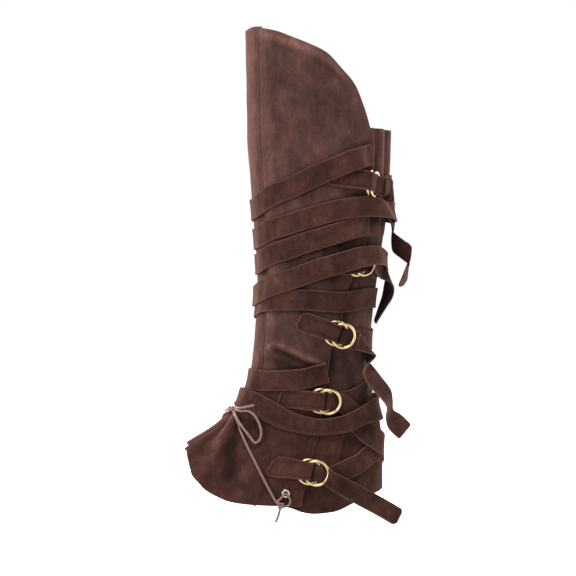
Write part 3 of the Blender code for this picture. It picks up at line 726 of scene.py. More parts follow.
def sew(name):
    """One thread stitch modelled as a small pinched bead, and copied to every place."""
    deselect()
    bpy.ops.mesh.primitive_uv_sphere_add(segments=6, ring_count=4, radius=1.0)
    bead = bpy.context.object
    for v in bead.data.vertices:
        v.co = Vector((v.co.x * 1.15, v.co.y * 0.36, v.co.z * 0.3)) * MM
    bm = bmesh.new()
    for place, along, out in stitch_places:
        side = out.cross(along).normalized()
        up = along.cross(side).normalized()
        before = len(bm.verts)
        bm.from_mesh(bead.data)
        bm.verts.ensure_lookup_table()
        fresh = bm.verts[before:]
        bmesh.ops.transform(bm, verts=fresh,
                            matrix=Matrix.Translation(place * MM) @ turned_to(along, side, up))
    me = bpy.data.meshes.new(name)
    bm.to_mesh(me)
    bm.free()
    bpy.data.objects.remove(bead, do_unlink=True)
    smooth_shaded(me)
    me.materials.append(THREAD)
    piece = bpy.data.objects.new(name, me)
    bpy.context.scene.collection.objects.link(piece)
    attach(piece, "root")
    return piece


# ------------------------------------------------------------------ runs of the straps
# Degrees round, height, rise over the leg and, where it does, how far the lower edge
# flares out. A run lies low on the leg, or over another strap.
LOW, OVER = 0.5, 2.8
top_run = [(205, 232, LOW), (180, 232, LOW), (149, 229, LOW)]
run_a = [(124, 260, LOW), (121, 259, 1.0), (117, 257.5, 3.2), (112, 256, 7.2),
         (107, 254, 10.2), (102, 251.5, 9.4), (96, 247.5, 5.6), (88, 242.3, 2.9),
         (80, 238, 2.6), (72, 233.5, LOW),
         (64, 228.8, LOW), (56, 224.6, LOW), (47, 220.9, LOW), (37, 216.5, LOW),
         (24, 210, LOW), (13, 206, LOW), (-10, 204, LOW),
         (-90, 204, LOW), (-148, 205, LOW), (-164, 205, 5.4), (-180, 203.5, 7.4),
         (-200, 203.5, 7.0, 3), (-209, 203.8, 7.4, 5.6), (-216, 204.6, 7.6, 6),
         (-221, 205.2, 7.4, 5.6), (-227, 206, 6.4, 4.6), (-238, 206.8, 3.8, 2),
         (-250, 205.5, 2.8, 0), (-258, 203.7, 2.4),
         (-266, 201.7, 0.8), (-280, 196.9, LOW),
         (-296, 191.5, LOW), (-314, 185.8, LOW), (-326, 182.6, LOW), (-340, 176, LOW),
         (-369, 174, LOW), (-450, 172, LOW),
         (-500, 168, LOW), (-540, 156, LOW), (-560, 147, 0.8), (-581, 143, 0.8)]
run_b = [(125, 187.6, LOW), (106, 182.5, LOW), (96, 178.8, LOW), (80, 173, LOW),
         (63, 166.8, LOW), (54, 163.2, LOW), (44, 160.4, LOW), (33, 157, LOW),
         (23, 153, LOW), (10, 148.5, LOW), (-9, 147.5, LOW), (-75, 147, LOW),
         (-95, 146, LOW), (-110, 146, OVER),
         (-140, 148, OVER), (-180, 149.5, 4.5), (-196, 150.5, 7.0, 1), (-206, 152.5, 8.6, 3),
         (-218, 156.4, 10.0, 5), (-232, 158.2, 12.2, 5), (-246, 156.3, 12.8, 4.5),
         (-258, 151.5, 11.4, 2),
         (-268, 147, 7.6), (-280, 142.4, OVER), (-290, 138.2, OVER), (-302, 133.2, OVER),
         (-316, 128.3, OVER), (-327, 124.4, OVER), (-340, 119.6, OVER), (-369, 114, OVER),
         (-420, 114, OVER),
         (-450, 114, OVER), (-470, 114, LOW), (-540, 113, LOW), (-582, 113, LOW),
         (-620, 109, LOW), (-656, 111, LOW), (-679, 111, LOW), (-698, 109, LOW),
         (-729, 103, LOW), (-752, 99, LOW), (-780, 94, LOW), (-810, 89, LOW),
         (-870, 78, LOW), (-900, 71, LOW), (-930, 68, LOW), (-950, 70, LOW)]
run_c = [(96.5, 38, LOW), (86, 35, 1.8), (76, 32, 3.6), (62, 30, 2.9), (45, 28.5, 2.9),
         (36, 28, 1.4), (28, 28, LOW), (13, 28, LOW),
         (-30, 28, LOW), (-90, 27, LOW), (-150, 26, LOW), (-180, 25, LOW),
         (-206, 20, LOW), (-222, 13, LOW), (-236, 8, LOW)]
run_heel = [(151, -46, LOW), (140, -50, LOW), (130, -57, LOW), (120, -62, LOW)]


def way(run):
    """1 where a run's degrees count up, and -1 where they count down."""
    return 1 if run[-1][0] > run[0][0] else -1


def column(run, k):
    """One column of a run as a curve over its degrees, counted up."""
    return [(way(run) * c[0], c[k] if len(c) > k else 0.0) for c in run]


def under_run(run, t, z):
    """Painted shadow that a strap casts on the leg beside its edges, at a place."""
    flip, z_of = way(run), column(run, 1)
    lo, hi = sorted((run[0][0], run[-1][0]))
    shade, turned = 0.0, wrap(t) - 1080
    while turned < hi:
        if turned > lo:
            gap = spline(z_of, flip * turned) - z
            reach = 3.4 if gap > 0 else 1.6
            gap = max(0.0, abs(gap) - STRAP_WIDTH / 2)
            shade = max(shade, math.exp(-(gap / reach) ** 2))
        turned += 360
    return shade


def shadow_beside_straps(t, z):
    return max(under_run(run, t, z) for run in (run_a, run_b, run_c))


# ------------------------------------------------------------------ leg panels
def outer_place(u, v):
    t = SEAM_T + (128 - SEAM_T) * u
    z = 200.0
    for _ in range(8):
        foot = mirrored(LEG_FOOT, t)
        z = foot + (spline(OUTER_TOP_EDGE, t) - foot) * v
        t = SEAM_T + (outer_back(z) - SEAM_T) * u
    return t, z


def inner_place(u, v):
    t = 110 + (SEAM_T + 2 + 360 - 110) * u
    z = 100.0
    for _ in range(8):
        foot = spline(INNER_FOOT, t)
        z = foot + (spline(INNER_TOP_EDGE, t) - foot) * v
        start = outer_back(z) - 9
        t = start + (SEAM_T + 2 + 360 - start) * u
    return t, z


def outer_height(t, z):
    seam = 0.9 * math.exp(-((t - 28.3) / 0.9) ** 2)
    top = 2.6 * ease(1 - (spline(OUTER_TOP_EDGE, t) - z) / 15) * ease((t - 30) / 20)
    return OUTER_TOP + leg_folds(t, z) - seam - top * ease((118 - t) / 30)


def inner_height(t, z):
    seam = 1.3 * math.exp(-((t - 360 - SEAM_T) / 3.0) ** 2)
    near_outer = ease((t - outer_back(z)) / 6)
    folds = leg_folds(t, z)
    return INNER_TOP + folds * near_outer + min(0.0, folds) * (1 - near_outer) - seam


def hump(x, middle, reach):
    return math.exp(-((x - middle) / reach) ** 2)


def leg_tone_and_painted_light(t, z):
    """Painted light and shade on the leg, with random tone: raised folds and a band under the upper
    edge painted light; fold troughs, the seam line, gaps by the straps and shaded parts painted
    dark.
    """
    t = wrap(t)
    top = spline(OUTER_TOP_EDGE, t) if SEAM_T <= t <= 110 else 420
    # Painted highlight in a band under the upper edge, with painted shade just below it.
    band = (0.75 * hump(top - z, 6, 4.5) - 0.2 * hump(top - z, 14, 4)) * ease((114 - t) / 24)
    # Raised folds painted lighter, fold troughs darker.
    fold_light_and_shade = 0.24 * (fold_height(LEG_FOLDS, t, z) + fold_height(CALF_FOLDS, t, z))
    # Painted highlights beside the front seam, painted shade in its line.
    front = 0.34 * hump(t, 35, 4) - 0.55 * hump(t, 28.3, 0.8) + 0.3 * hump(t, 29.8, 0.7)
    # Painted shade in the gaps between straps and under strap A's flared lower edge.
    between = (-0.28 * hump(z, 155, 20) * ease((t - 34) / 20)
               - 0.28 * hump(z, 132, 9) * ease((t - 70) / 20)
               - 0.5 * hump(z, 193, 7) * ease((t - 112) / 12) * ease((200 - t) / 20))
    # Painted shadow on the inner panel along the outer panel's back edge.
    back = t - outer_back(z)
    lap_shadow = -0.45 * hump(back, 0.5, 5) * ease((back + 0.5) / 1.5) * ease((250 - z) / 60)
    # Darker toward the foot and in one broad patch on the outer side.
    low = -0.12 * ease((150 - z) / 80) - 0.14 * hump(z, 268, 42) * hump(t, 66, 26)
    # Painted shade below the third buckle's rings, and a painted highlight behind them.
    ring_shade_and_edge_light = -0.3 * hump(z, 50, 16) * hump(t, 106, 10) + 0.25 * hump(z, 52, 30) * hump(t, 124, 7)
    # Random unevenness of tone, with the painted shadow, darker parts and ring shade above.
    wear_and_painted_light = (0.24 * wander(t / 26, z / 46, 11.0) + 0.16 * wander(t / 9, z / 16, 13.0)
            + lap_shadow + low + ring_shade_and_edge_light)
    # Painted shadow beside the straps is taken off the total.
    return max(-0.72, band + fold_light_and_shade + front + between + wear_and_painted_light - 0.5 * shadow_beside_straps(t, z))


def outer_grid(u, v):
    """Finer toward the front seam."""
    return outer_place(u ** 1.4, v)


outer_rows = panel_rows(outer_grid, outer_height, 64, 150)
outer_cloth = cloth("outer_panel_suede", outer_rows, PANEL_WALL, "outer_panel",
                    axes(*outer_place(0.5, 0.5))[2], (PANEL, LINING, CUT),
                    tone_and_painted_light=tone_and_light_rows(outer_grid, leg_tone_and_painted_light, 64, 150))
cut_of(outer_rows)
inner_rows = panel_rows(inner_place, inner_height, 150, 110)
inner_cloth = cloth("inner_panel_suede", inner_rows, PANEL_WALL, "inner_panel",
                    axes(*inner_place(0.5, 0.5))[2], (PANEL, LINING, CUT),
                    tone_and_painted_light=tone_and_light_rows(inner_place, leg_tone_and_painted_light, 150, 110))
cut_of(inner_rows)


# ------------------------------------------------------------------ the spat
def vamp_place(t0, t1, hem_line):
    lean = 2.2 if t1 < 180 else -2.2

    def place(u, v):
        z = -60.0
        for _ in range(5):
            t = t0 + (t1 - lean * ease((-60 - z) / 40) - t0) * u
            folded = t if t <= 180 else 360 - t
            top = (mirrored(BAND_TOP, t) + mirrored(BAND_LOW, t)) / 2 + 2
            hem = spline(hem_line, folded)
            z = hem + (top - hem) * v
        return t, z
    return place


def vamp_tone_and_painted_light(t, z):
    # Painted light and shade on the vamp, with random tone: raised folds lighter, fold troughs
    # darker.
    folded = from_front(t)
    fold = fold_height(VAMP_FOLDS, folded, z)
    fold_light_and_shade = (0.24 if fold > 0 else 0.2) * fold
    # Painted highlight toward the front; painted shade under the band and in a fold trough.
    toe = (0.3 * ease((50 - folded) / 26) - 0.45 * hump(z, -22, 8) * hump(folded, 42, 16)
           - 0.3 * hump(folded, 47, 5) * hump(z, -40, 15) - 0.1)
    return max(-0.6, fold_light_and_shade + toe + 0.2 * wander(t / 11, z / 20, 15.0)
               + 0.1 * wander(t / 4, z / 7, 16.0))


for side, t0, t1, hem_line in (("outer", RIDGE_T - RIDGE_LAP, 96, VAMP_HEM),
                               ("inner", 360 + RIDGE_T + RIDGE_LAP, 264, INNER_VAMP_HEM)):
    place = vamp_place(t0, t1, hem_line)

    def vamp_height(t, z, edge=t0):
        ridge = 0.9 * math.exp(-((t - edge) / 1.6) ** 2)
        return vamp_surface(t, z) - ridge
    rows = panel_rows(place, vamp_height, 70, 46)
    piece = cloth("vamp_%s_suede" % side, rows, SPAT_WALL, "vamp_" + side,
                  axes(*place(0.5, 0.5))[2], (SPAT, LINING, CUT),
                  tone_and_painted_light=tone_and_light_rows(place, vamp_tone_and_painted_light, 70, 46))
    cut_of(rows)


def heel_place(u, v):
    t = 85 + 190 * u
    return t, spline(HEEL_HEM, t) + (-15 - spline(HEEL_HEM, t)) * v


def heel_tone_and_painted_light(t, z):
    # Painted light on raised folds and shade in fold troughs, with random tone, a little darker
    # overall.
    return (0.26 * fold_height(HEEL_FOLDS, t, z) + 0.18 * wander(t / 10, z / 18, 17.0)
            + 0.1 * wander(t / 4, z / 7, 18.0) - 0.06)


heel_rows = panel_rows(heel_place, lambda t, z: HEEL_TOP + heel_folds(t, z), 100, 34)
heel_cloth = cloth("heel_piece_suede", heel_rows, SPAT_WALL, "heel_piece",
                   axes(*heel_place(0.5, 0.5))[2], (SPAT, LINING, CUT),
                   tone_and_painted_light=tone_and_light_rows(heel_place, heel_tone_and_painted_light, 100, 34))
cut_of(heel_rows)


def underlap_place(u, v):
    return 89 + (112 + 2 * v - 89) * u, -68 + (-14 + 68) * v


under_rows = panel_rows(underlap_place, lambda t, z: UNDER_TOP, 18, 26)
under_cloth = cloth("underlap_suede", under_rows, UNDER_WALL, "underlap",
                    axes(*underlap_place(0.5, 0.5))[2], (SPAT, LINING, CUT))
cut_of(under_rows)


def band_place(u, v):
    t = RIDGE_T + 0.3 + 359.2 * u
    low, top = mirrored(BAND_LOW, t), mirrored(BAND_TOP, t)
    if t > 360 - RIDGE_T or t < RIDGE_T:
        low, top = BAND_LOW[0][1], BAND_TOP[0][1]
    return t, low + (top - low) * v


def band_height(t, z):
    return band_low(t) + SPAT_WALL + 0.35 * (1 + wander(t / 9, z / 12, 9.0))


band_rows = panel_rows(band_place, band_height, 230, 10)
band_cloth = cloth("ankle_band_suede", band_rows, SPAT_WALL, "ankle_band",
                   axes(*band_place(0.5, 0.5))[2], (STRAP, LINING, CUT))
cut_of(band_rows)


# ------------------------------------------------------------------ buckles
class Buckle:
    """Frame of a ring pair: s along the tab toward the rings, w across it, h out."""
    HINGE = 12.0

    def __init__(self, t, z, slope, base, ground, touch=-6.0, swing=0.0, lift=0.0):
        self.t, self.z, self.base, self.ground, self.still = t, z, base, ground, None
        self.slope = math.radians(slope)
        mid_t, mid_z = self.spot(touch, 0.0)
        rd, up, out = axes(mid_t, mid_z)
        c, s = math.cos(self.slope), math.sin(self.slope)
        self.n = out
        self.s = (rd * c + up * s).normalized()
        self.w = out.cross(self.s).normalized()
        self.centre = form(mid_t, mid_z, base) - self.s * touch
        if swing:
            # The rings turn away round a line across their tab.
            line = self.centre - self.s * self.HINGE + out * lift
            self.still = line, self.s, out
            c, s = math.cos(math.radians(swing)), math.sin(math.radians(swing))
            self.s, self.n = self.s * c - out * s, out * c + self.s * s
            self.centre = line + self.s * self.HINGE

    def spot(self, s, w):
        r = per_degree(self.t, self.z)
        c, q = math.cos(self.slope), math.sin(self.slope)
        return self.t + (s * c - w * q) / r, self.z + s * q + w * c

    def on_form(self, s, w, h):
        t, z = self.spot(s, w)
        return form(t, z, self.ground(t, z) + h)

    def in_plane(self, s, w, h):
        if self.still and s < -self.HINGE:
            line, along, out = self.still
            return line + along * (s + self.HINGE) + self.w * w + out * h
        return self.centre + self.s * s + self.w * w + self.n * h


B1 = Buckle(126.0, 229.5, -10, OUTER_TOP, leg_surface, touch=-2.0, swing=34, lift=2.6)
B2 = Buckle(119, 149, 6, OUTER_TOP, leg_surface, touch=0.0)
B3 = Buckle(106.5, 75.5, -19, OUTER_TOP, leg_surface)
B4 = Buckle(98, 8, -4, OUTER_TOP, leg_surface, touch=0.0)
B5 = Buckle(98.5, -65.5, -12, VAMP_REAR_TOP, spat_surface)
BUCKLES = [(B1, 50), (B2, 36), (B3, 46), (B4, 50), (B5, 42)]


def on_curve(a, b, c, d, q):
    """A place between b and c on a smooth curve through four."""
    return 0.5 * ((2 * b) + (c - a) * q + (2 * a - 5 * b + 4 * c - d) * q * q
                  + (3 * b - a - 3 * c + d) * q**3)


def row_between(rows, q):
    """Row at a fractional place between rows, on a smooth curve."""
    n = len(rows)
    k = min(int(q), n - 2)
    q -= k
    r0, r1 = rows[max(0, k - 1)], rows[k]
    r2, r3 = rows[k + 1], rows[min(n - 1, k + 2)]
    return [on_curve(a, b, c, d, q) for a, b, c, d in zip(r0, r1, r2, r3)]


def finer(rows, step):
    """More rows on a smooth curve through the given ones, about a step apart."""
    mid = len(rows[0]) // 2
    out = []
    for k in range(len(rows) - 1):
        gap = (rows[k + 1][mid] - rows[k][mid]).length
        cuts = max(1, int(round(gap / step)))
        out += [row_between(rows, k + i / cuts) for i in range(cuts)]
    out.append(rows[-1])
    return out


def mark_rows(buckle, path, widths, across=10):
    rows = []
    for (kind, s, h), width in zip(path, widths):
        place = buckle.on_form if kind == "form" else buckle.in_plane
        rows.append([place(s, (0.5 - j / across) * width, h) for j in range(across + 1)])
    return rows


TAB_COLUMNS = [0, 0.03, 0.07, 0.11, 0.14, 0.18, 0.26, 0.38, 0.5, 0.62, 0.74, 0.82, 0.86, 0.89,
               0.93, 0.97, 1]
TAB_GROOVE = [0, 0, 0.06, -0.12, -0.25, -0.05, 0.1, 0.18, 0.2, 0.18, 0.1, -0.05, -0.25, -0.12,
              0.06, 0, 0]


def tab_end(d, width, corner=7.0):
    """Width of a tab this far from its rounded end."""
    if d >= corner:
        return width
    return width - 2 * (corner - math.sqrt(max(0.0, corner**2 - (corner - d) ** 2)))


def rim_light_and_groove_shade(d):
    """Painted light beside an edge: a painted highlight on the rim, painted shade in the sewn
    groove.
    """
    return 0.25 * hump(d, 0.8, 0.9) - 0.5 * hump(d, 2.9, 0.8)


def make_tab(k, buckle, length):
    path = []
    for d in (0.02, 0.3, 0.8, 1.6, 2.8, 4.4, 6.2, 8.0):
        path.append(("form", -length + d, 1.3, tab_end(d, TAB_WIDTH), 1))
    path += [("form", -min(38, length - 11), 1.35, TAB_WIDTH, 1),
             ("form", -min(32, length - 12.5), 2.3, TAB_WIDTH, 1),
             ("plane", -22, 4.9, 20, 1), ("plane", -18, 7.0, 19.6, 0.8),
             ("plane", -13, 8.7, 19, 0.3), ("plane", -7.8, 9.1, 18, 0),
             ("plane", -5.9, 8.6, 17.4, 0), ("plane", -5.15, 7.2, 17, 0),
             ("plane", -5.15, 3.2, 17, 0), ("plane", -6.0, 1.8, 17, 0),
             ("form", -8.5, 1.3, 17, 0), ("form", -14, 1.3, 17, 0),
             ("form", -22, 1.3, 17, 0), ("form", -24.5, 1.3, 17, 0)]
    rows = []
    for kind, s, h, width, grooved in path:
        place = buckle.on_form if kind == "form" else buckle.in_plane
        rows.append([place(s, (f - 0.5) * width, h + g * grooved)
                     for f, g in zip(TAB_COLUMNS, TAB_GROOVE)])
    rows = finer(rows, 1.3)
    mid = len(TAB_COLUMNS) // 2
    # Random tone of the nap, with a painted rim highlight and painted groove shade.
    nap = [[patches(p) + rim_light_and_groove_shade(min((p - row[0]).length, (p - row[-1]).length,
                                           (row[mid] - rows[0][mid]).length)) for p in row]
           for row in rows]
    piece = cloth("tab_%d_suede" % k, rows, STRAP_WALL, "tab_%d" % k, Vector((0, 0, 0)),
                  (STRAP, FLESH, CUT), offset=0.0, tone_and_painted_light=nap)
    cut_of(rows)
    # Two rows of stitches, joined round the sewn end.
    out = buckle.n
    stop = next(i for i, row in enumerate(rows)
                if (row[mid] - rows[0][mid]).length > length - 17)
    left, right = ([rows[i][f] + out * (STRAP_WALL / 2) for i in range(stop)
                    if (rows[i][mid] - rows[0][mid]).length > 3.2]
                   for f in (4, len(TAB_COLUMNS) - 5))
    loop = left[::-1] + [left[0].lerp(right[0], q / 6) for q in range(1, 6)] + right
    stitch_line(loop, [out] * len(loop), pitch=2.7, lift=0.05)


def torus(name, node, mid, along, side, major, minor, finish):
    """Round wire ring, laid in the plane of two directions."""
    deselect()
    bpy.ops.mesh.primitive_torus_add(major_segments=96, minor_segments=20,
                                     major_radius=major * MM, minor_radius=minor * MM)
    piece = bpy.context.object
    piece.name = name
    piece.data.name = name
    up = along.cross(side).normalized()
    piece.data.transform(Matrix.Translation(mid * MM) @ turned_to(along, side, up))
    smooth_shaded(piece.data)
    piece.data.materials.append(finish)
    dress(piece, node)


def make_ring(k, which, buckle, s, h_left, h_right):
    mid = buckle.in_plane(s, 0, (h_left + h_right) / 2)
    along = (buckle.s * 2 * RING_MAJOR + buckle.n * (h_right - h_left)).normalized()
    side = (buckle.w - along * buckle.w.dot(along)).normalized()
    torus("brass_ring_%d_%s" % (k, which), "ring_%d_%s" % (k, which), mid, along, side,
          RING_MAJOR, RING_WIRE, BRASS)


for k, (b, length) in enumerate(BUCKLES, 1):
    make_tab(k, b, length)
    make_ring(k, "rear", b, -RING_SHIFT, REAR_RISE, REAR_RISE)
    make_ring(k, "front", b, 0.0, *FRONT_RISE)


# ------------------------------------------------------------------ wrapped straps
def laid_rows(controls, width=STRAP_WIDTH, step=2.4, ground=leg_surface, across=10, seed=0.0):
    """Rows of a strap on the leg, through controls: degrees round, height, rise over
    the leg and, where it is given, how far the lower edge flares out."""
    t0, t1 = controls[0][0], controls[-1][0]
    flip = way(controls)
    z_of, h_of, flare_of = (column(controls, k) for k in (1, 2, 3))
    n = max(2, int(round(abs(t1 - t0) / step)))
    rows = []
    for k in range(n + 1):
        t = t0 + (t1 - t0) * k / n
        z = spline(z_of, flip * t) + 0.5 * wander(k / 11, seed, 0.3)
        h, flare = spline(h_of, flip * t), spline(flare_of, flip * t)
        a, b = max(min(t0, t1), t - 1), min(max(t0, t1), t + 1)
        dz = (spline(z_of, flip * b) - spline(z_of, flip * a)) / (b - a)
        r = per_degree(t, z)
        length = math.hypot(r, dz)
        lean = math.sqrt(1 - (2 * flare / width) ** 2) * width / 2
        du, dv = -dz / length * lean / r, r / length * lean
        row = []
        for j in range(across + 1):
            f = 1 - 2 * j / across
            tt, zz = t + du * f, z + dv * f
            curl = 0.35 * f**4 * (1 + wander(k / 7, f * 2, seed + 5)) + 0.25 * (
                1 + wander(k / 9, f, seed + 9))
            row.append(form(tt, zz, ground(tt, zz) + h - flare * f + STRAP_WALL / 2
                            + curl - 0.2))
        rows.append(row)
    return rows


TURN = [("form", 16, 1.3), ("form", 8, 1.3), ("form", 1.0, 1.3), ("plane", -0.9, 1.7),
        ("plane", -1.7, 2.9), ("plane", -1.7, 5.0), ("plane", -1.0, 6.1),
        ("plane", 0.6, 6.35), ("plane", 5.0, 6.3), ("plane", 8.2, 5.6),
        ("plane", 12.4, 5.2)]
TURN_WIDTHS = [20, 19, 17.5, 17, 17, 17, 17, 17, 17, 17.5, 18.3]


def matched(row, last):
    """Whether two rows run the same way across."""
    straight = (row[0] - last[0]).length + (row[-1] - last[-1]).length
    crossed = (row[-1] - last[0]).length + (row[0] - last[-1]).length
    return straight <= crossed


def joined(rows, more):
    if not matched(more[0], rows[-1]):
        more = [row[::-1] for row in more]
    return rows + more


def strap(name, node, rows, buckle, out_at, light_start=0.0, dim=(0.0, 0.0)):
    """A strap; its start may be coloured lighter, and it may be coloured darker after a part
    of its run."""
    turned = finer(mark_rows(buckle, TURN, TURN_WIDTHS), 1.3)
    laid = len(rows)
    rows = joined(rows, turned)
    after, darker = dim
    nap = [[patches(p) + light_start * ease(1 - k / 24)
            - darker * ease((k / len(rows) - after) / 0.1) for p in row]
           for k, row in enumerate(rows)]
    piece = cloth_facing(name, rows, node, out_at, (laid - 2, len(rows) - 1), nap)
    cut_of(rows)


def cloth_facing(name, rows, node, out_at, turned_rows=(0, 0), nap=None):
    """Strap cloth whose suede side faces the given way at a given row."""
    index, out = out_at
    m = len(rows[0]) // 2
    a = rows[index + 1][m] - rows[index][m]
    b = rows[index][m + 1] - rows[index][m]
    if a.cross(b).dot(out) < 0:
        rows = [row[::-1] for row in rows]
        nap = nap and [row[::-1] for row in nap]
    return cloth(name, rows, STRAP_WALL, node, Vector((0, 0, 0)), (STRAP, TURNED, CUT),
                 offset=0.0, turned_rows=turned_rows, tone_and_painted_light=nap)


strap("strap_top_suede", "strap_top", laid_rows(top_run, seed=1.0), B1,
      (3, axes(200, 232)[2]))
strap("strap_a_suede", "strap_a", laid_rows(run_a, seed=2.0), B2,
      (3, axes(120, 258)[2]))
strap("strap_b_suede", "strap_b", laid_rows(run_b, seed=3.0), B3,
      (3, axes(120, 180)[2]), light_start=0.45, dim=(0.5, 0.14))
strap("strap_c_suede", "strap_c", laid_rows(run_c, seed=4.0), B4,
      (3, axes(90, 36)[2]), dim=(-0.1, 0.15))
heel_run = laid_rows(run_heel, ground=spat_surface, step=1.5, seed=5.0)
strap("strap_heel_suede", "strap_heel", heel_run, B5,
      (3, axes(148, -46)[2]))


# ------------------------------------------------------------------ free ends
def flat_rows(centres, widths, across, cells=10):
    """Rows of a flat strip through its middles, lying along the given directions."""
    rows = []
    n = len(centres)
    for k in range(n):
        tangent = (centres[min(n - 1, k + 1)] - centres[max(0, k - 1)]).normalized()
        u = across[k] - tangent * across[k].dot(tangent)
        u.normalize()
        rows.append([centres[k] + u * widths[k] * (0.5 - j / cells) for j in range(cells + 1)])
    return rows


def seen(right, up, away):
    """A place as it is seen from the outer side: to the right, up and away."""
    return across_view * right + into_view * away + Vector((0, 0, up))


def found_on_form(p):
    """Degrees round, height and distance out of the form of a place."""
    t, z = math.degrees(math.atan2(-p.y / 56, -(p.x + 4) / 66)) % 360, p.z
    for _ in range(8):
        rd, up, out = axes(t, z)
        d = p - raw(t, z)
        t += 0.8 * d.dot(rd) / per_degree(t, z)
        z += 0.8 * d.dot(up)
    return t, z, d.dot(out), out


def over_run(controls, turns, ground=leg_surface):
    """Least distance out of the form for what lies over the end of a strap's run."""
    lo, hi = sorted((controls[0][0] + 360 * turns, controls[-1][0] + 360 * turns))
    flip, z_of, h_of = way(controls), column(controls, 1), column(controls, 2)

    def least(t, z):
        bare = ground(t, z) + 1.3
        if not lo - 26 < t < hi:
            return bare
        at = flip * (t - 360 * turns)
        gap = abs(z - spline(z_of, at)) - STRAP_WIDTH / 2
        return bare + (spline(h_of, at) + STRAP_WALL + 0.3) * ease((2.5 - gap) / 2)
    return least


def end_edges(section, width):
    """Both edges of a hanging end at one of its sections."""
    right, up, away, lie, tipped = section
    lie, tipped = math.radians(lie), math.radians(tipped)
    half = seen(math.cos(lie) * math.cos(tipped), math.sin(lie) * math.cos(tipped),
                math.sin(tipped)) * width / 2
    middle = seen(right, up, away)
    return middle + half, middle - half


def edge_rows(buckle, sections, least, end_corner=0.0, cells=10, cup=0.5, leads=3):
    """Rows of a free end: it leaves under the front ring, gathered by it, opens to its
    full width and runs through its sections, over whatever it lies on."""
    rows = []
    for s, h, width in ((11.9, 5.25, 18.2), (14.2, 5.1, 18.6), (16.6, 5.0, 19.2))[:leads]:
        rows.append([buckle.in_plane(s, (0.5 - j / cells) * width, h)
                     for j in range(cells + 1)])
    for k, section in enumerate(sections):
        a, b = end_edges(section, END_WIDTH - GATHERED * (1 - ease(k / 3)))
        rows.append([a.lerp(b, j / cells) for j in range(cells + 1)])
    rows = finer(rows, 1.5)
    for k in range(2, len(rows) - 1):
        row = rows[k]
        run = rows[k + 1][cells // 2] - rows[k - 1][cells // 2]
        face = run.cross(row[-1] - row[0]).normalized()
        bow = cup * min(1.0, k / 8)
        rows[k] = [p + face * bow * (1 - (2 * j / cells - 1) ** 2) for j, p in enumerate(row)]
    for k in range(4, len(rows)):
        for j, p in enumerate(rows[k]):
            t, z, off, out = found_on_form(p)
            rows[k][j] = p + out * max(0.0, least(t, z) - off)
    return rows + closing_rows(rows, end_corner, cells)


def closing_rows(rows, corner, cells):
    """Carries a strap on past its last row, its corners cut round."""
    if not corner:
        return []
    last, mid = rows[-1], rows[-1][cells // 2]
    run = (mid - rows[-3][cells // 2]).normalized()
    half = (last[0] - last[-1]).length / 2
    more = []
    for k in range(1, 8):
        d = corner * math.sin(k / 7 * math.pi / 2)
        share = (half - corner + math.sqrt(max(0.0, corner**2 - d**2))) / half
        more.append([mid + (p - mid) * share + run * d for p in last])
    return more


def by_form(t, z, h, lean):
    """A place on the leg and the way that a strip's width leans there."""
    rd, up, _ = axes(t, z)
    a = math.radians(lean)
    return form(t, z, leg_top(t, z) + h), up * math.cos(a) + rd * math.sin(a)


def tail(k, rows, out, turned_rows=(0, 0), darker=0.0):
    nap = [[patches(p) - darker for p in row] for row in rows]
    piece = cloth_facing("tail_%d_suede" % k, rows, "tail_%d" % k, (2, out), turned_rows, nap)
    cut_of(rows)


# Sections of the free ends: the middle of the strip to the right, up and away as seen
# from the outer side, then how its width lies in that view, in degrees up from level,
# and how many degrees it is tipped edge-on.
# The first turns edge-on behind strap A, is thrown flat to the right and tips again.
END_1 = [(69, 230, -15, 85, 0), (74, 222, -10, 65, 20), (75, 205, -1, 5, 55),
         (78, 193, 2, 0, 72), (79, 182, 5, -85, 66), (79, 172, 3, -90, 15),
         (89, 163, -3, -95, 15), (96, 157, -5, -96, 15), (94, 149, 0, -112, -45),
         (90, 131, 0, -165, -66)]
# The second swings out to the right, then comes back in and tips edge-on.
END_2 = [(66, 141, -14, 80, 15), (73, 137, -9, 105, 10), (76, 130, -4, 112, 5),
         (74, 120, 0, 115, 30), (70, 109, 1, 108, 55), (64, 96, 1, 100, 70),
         (60, 87, 0, 98, 82)]
# The third folds back under itself, hangs in a slack curve and ends nearly flat.
END_3 = [(42, 67, -40, 85, 15), (50, 63, -35, 118, 12), (53, 60, -29, 130, 8),
         (50, 53, -26, 135, 45), (50, 46, -28, 85, 78), (51, 39, -30, 25, 55),
         (58, 27, -33, 30, 40), (68, 15, -35, 28, 48), (73, 4, -34, 38, 66),
         (73, -6, -34, 36, 60), (78, -14, -36, 45, 20), (87, -23, -38, 50, 8)]
# The fifth lies straight across the heel, its lower edge coming forward.
END_5 = [(11, -70, -65, 66, 5), (22, -76, -64, 64, 10), (41, -87, -60, 62, 22),
         (62, -99, -54, 60, 30), (78, -109, -47, 60, 30)]
tail(1, edge_rows(B1, END_1, over_run(top_run, 0), end_corner=7.0), -B1.n,
     turned_rows=(0, 14))
tail(2, edge_rows(B2, END_2, over_run(run_a[-6:], 2)), B2.n)
tail(3, edge_rows(B3, END_3, over_run(run_b[-8:], 3), end_corner=2.5), B3.n)
tail(5, edge_rows(B5, END_5, over_run(run_heel, 0, spat_surface), end_corner=5.0, cup=0.3,
               leads=1), B5.n, darker=0.18)

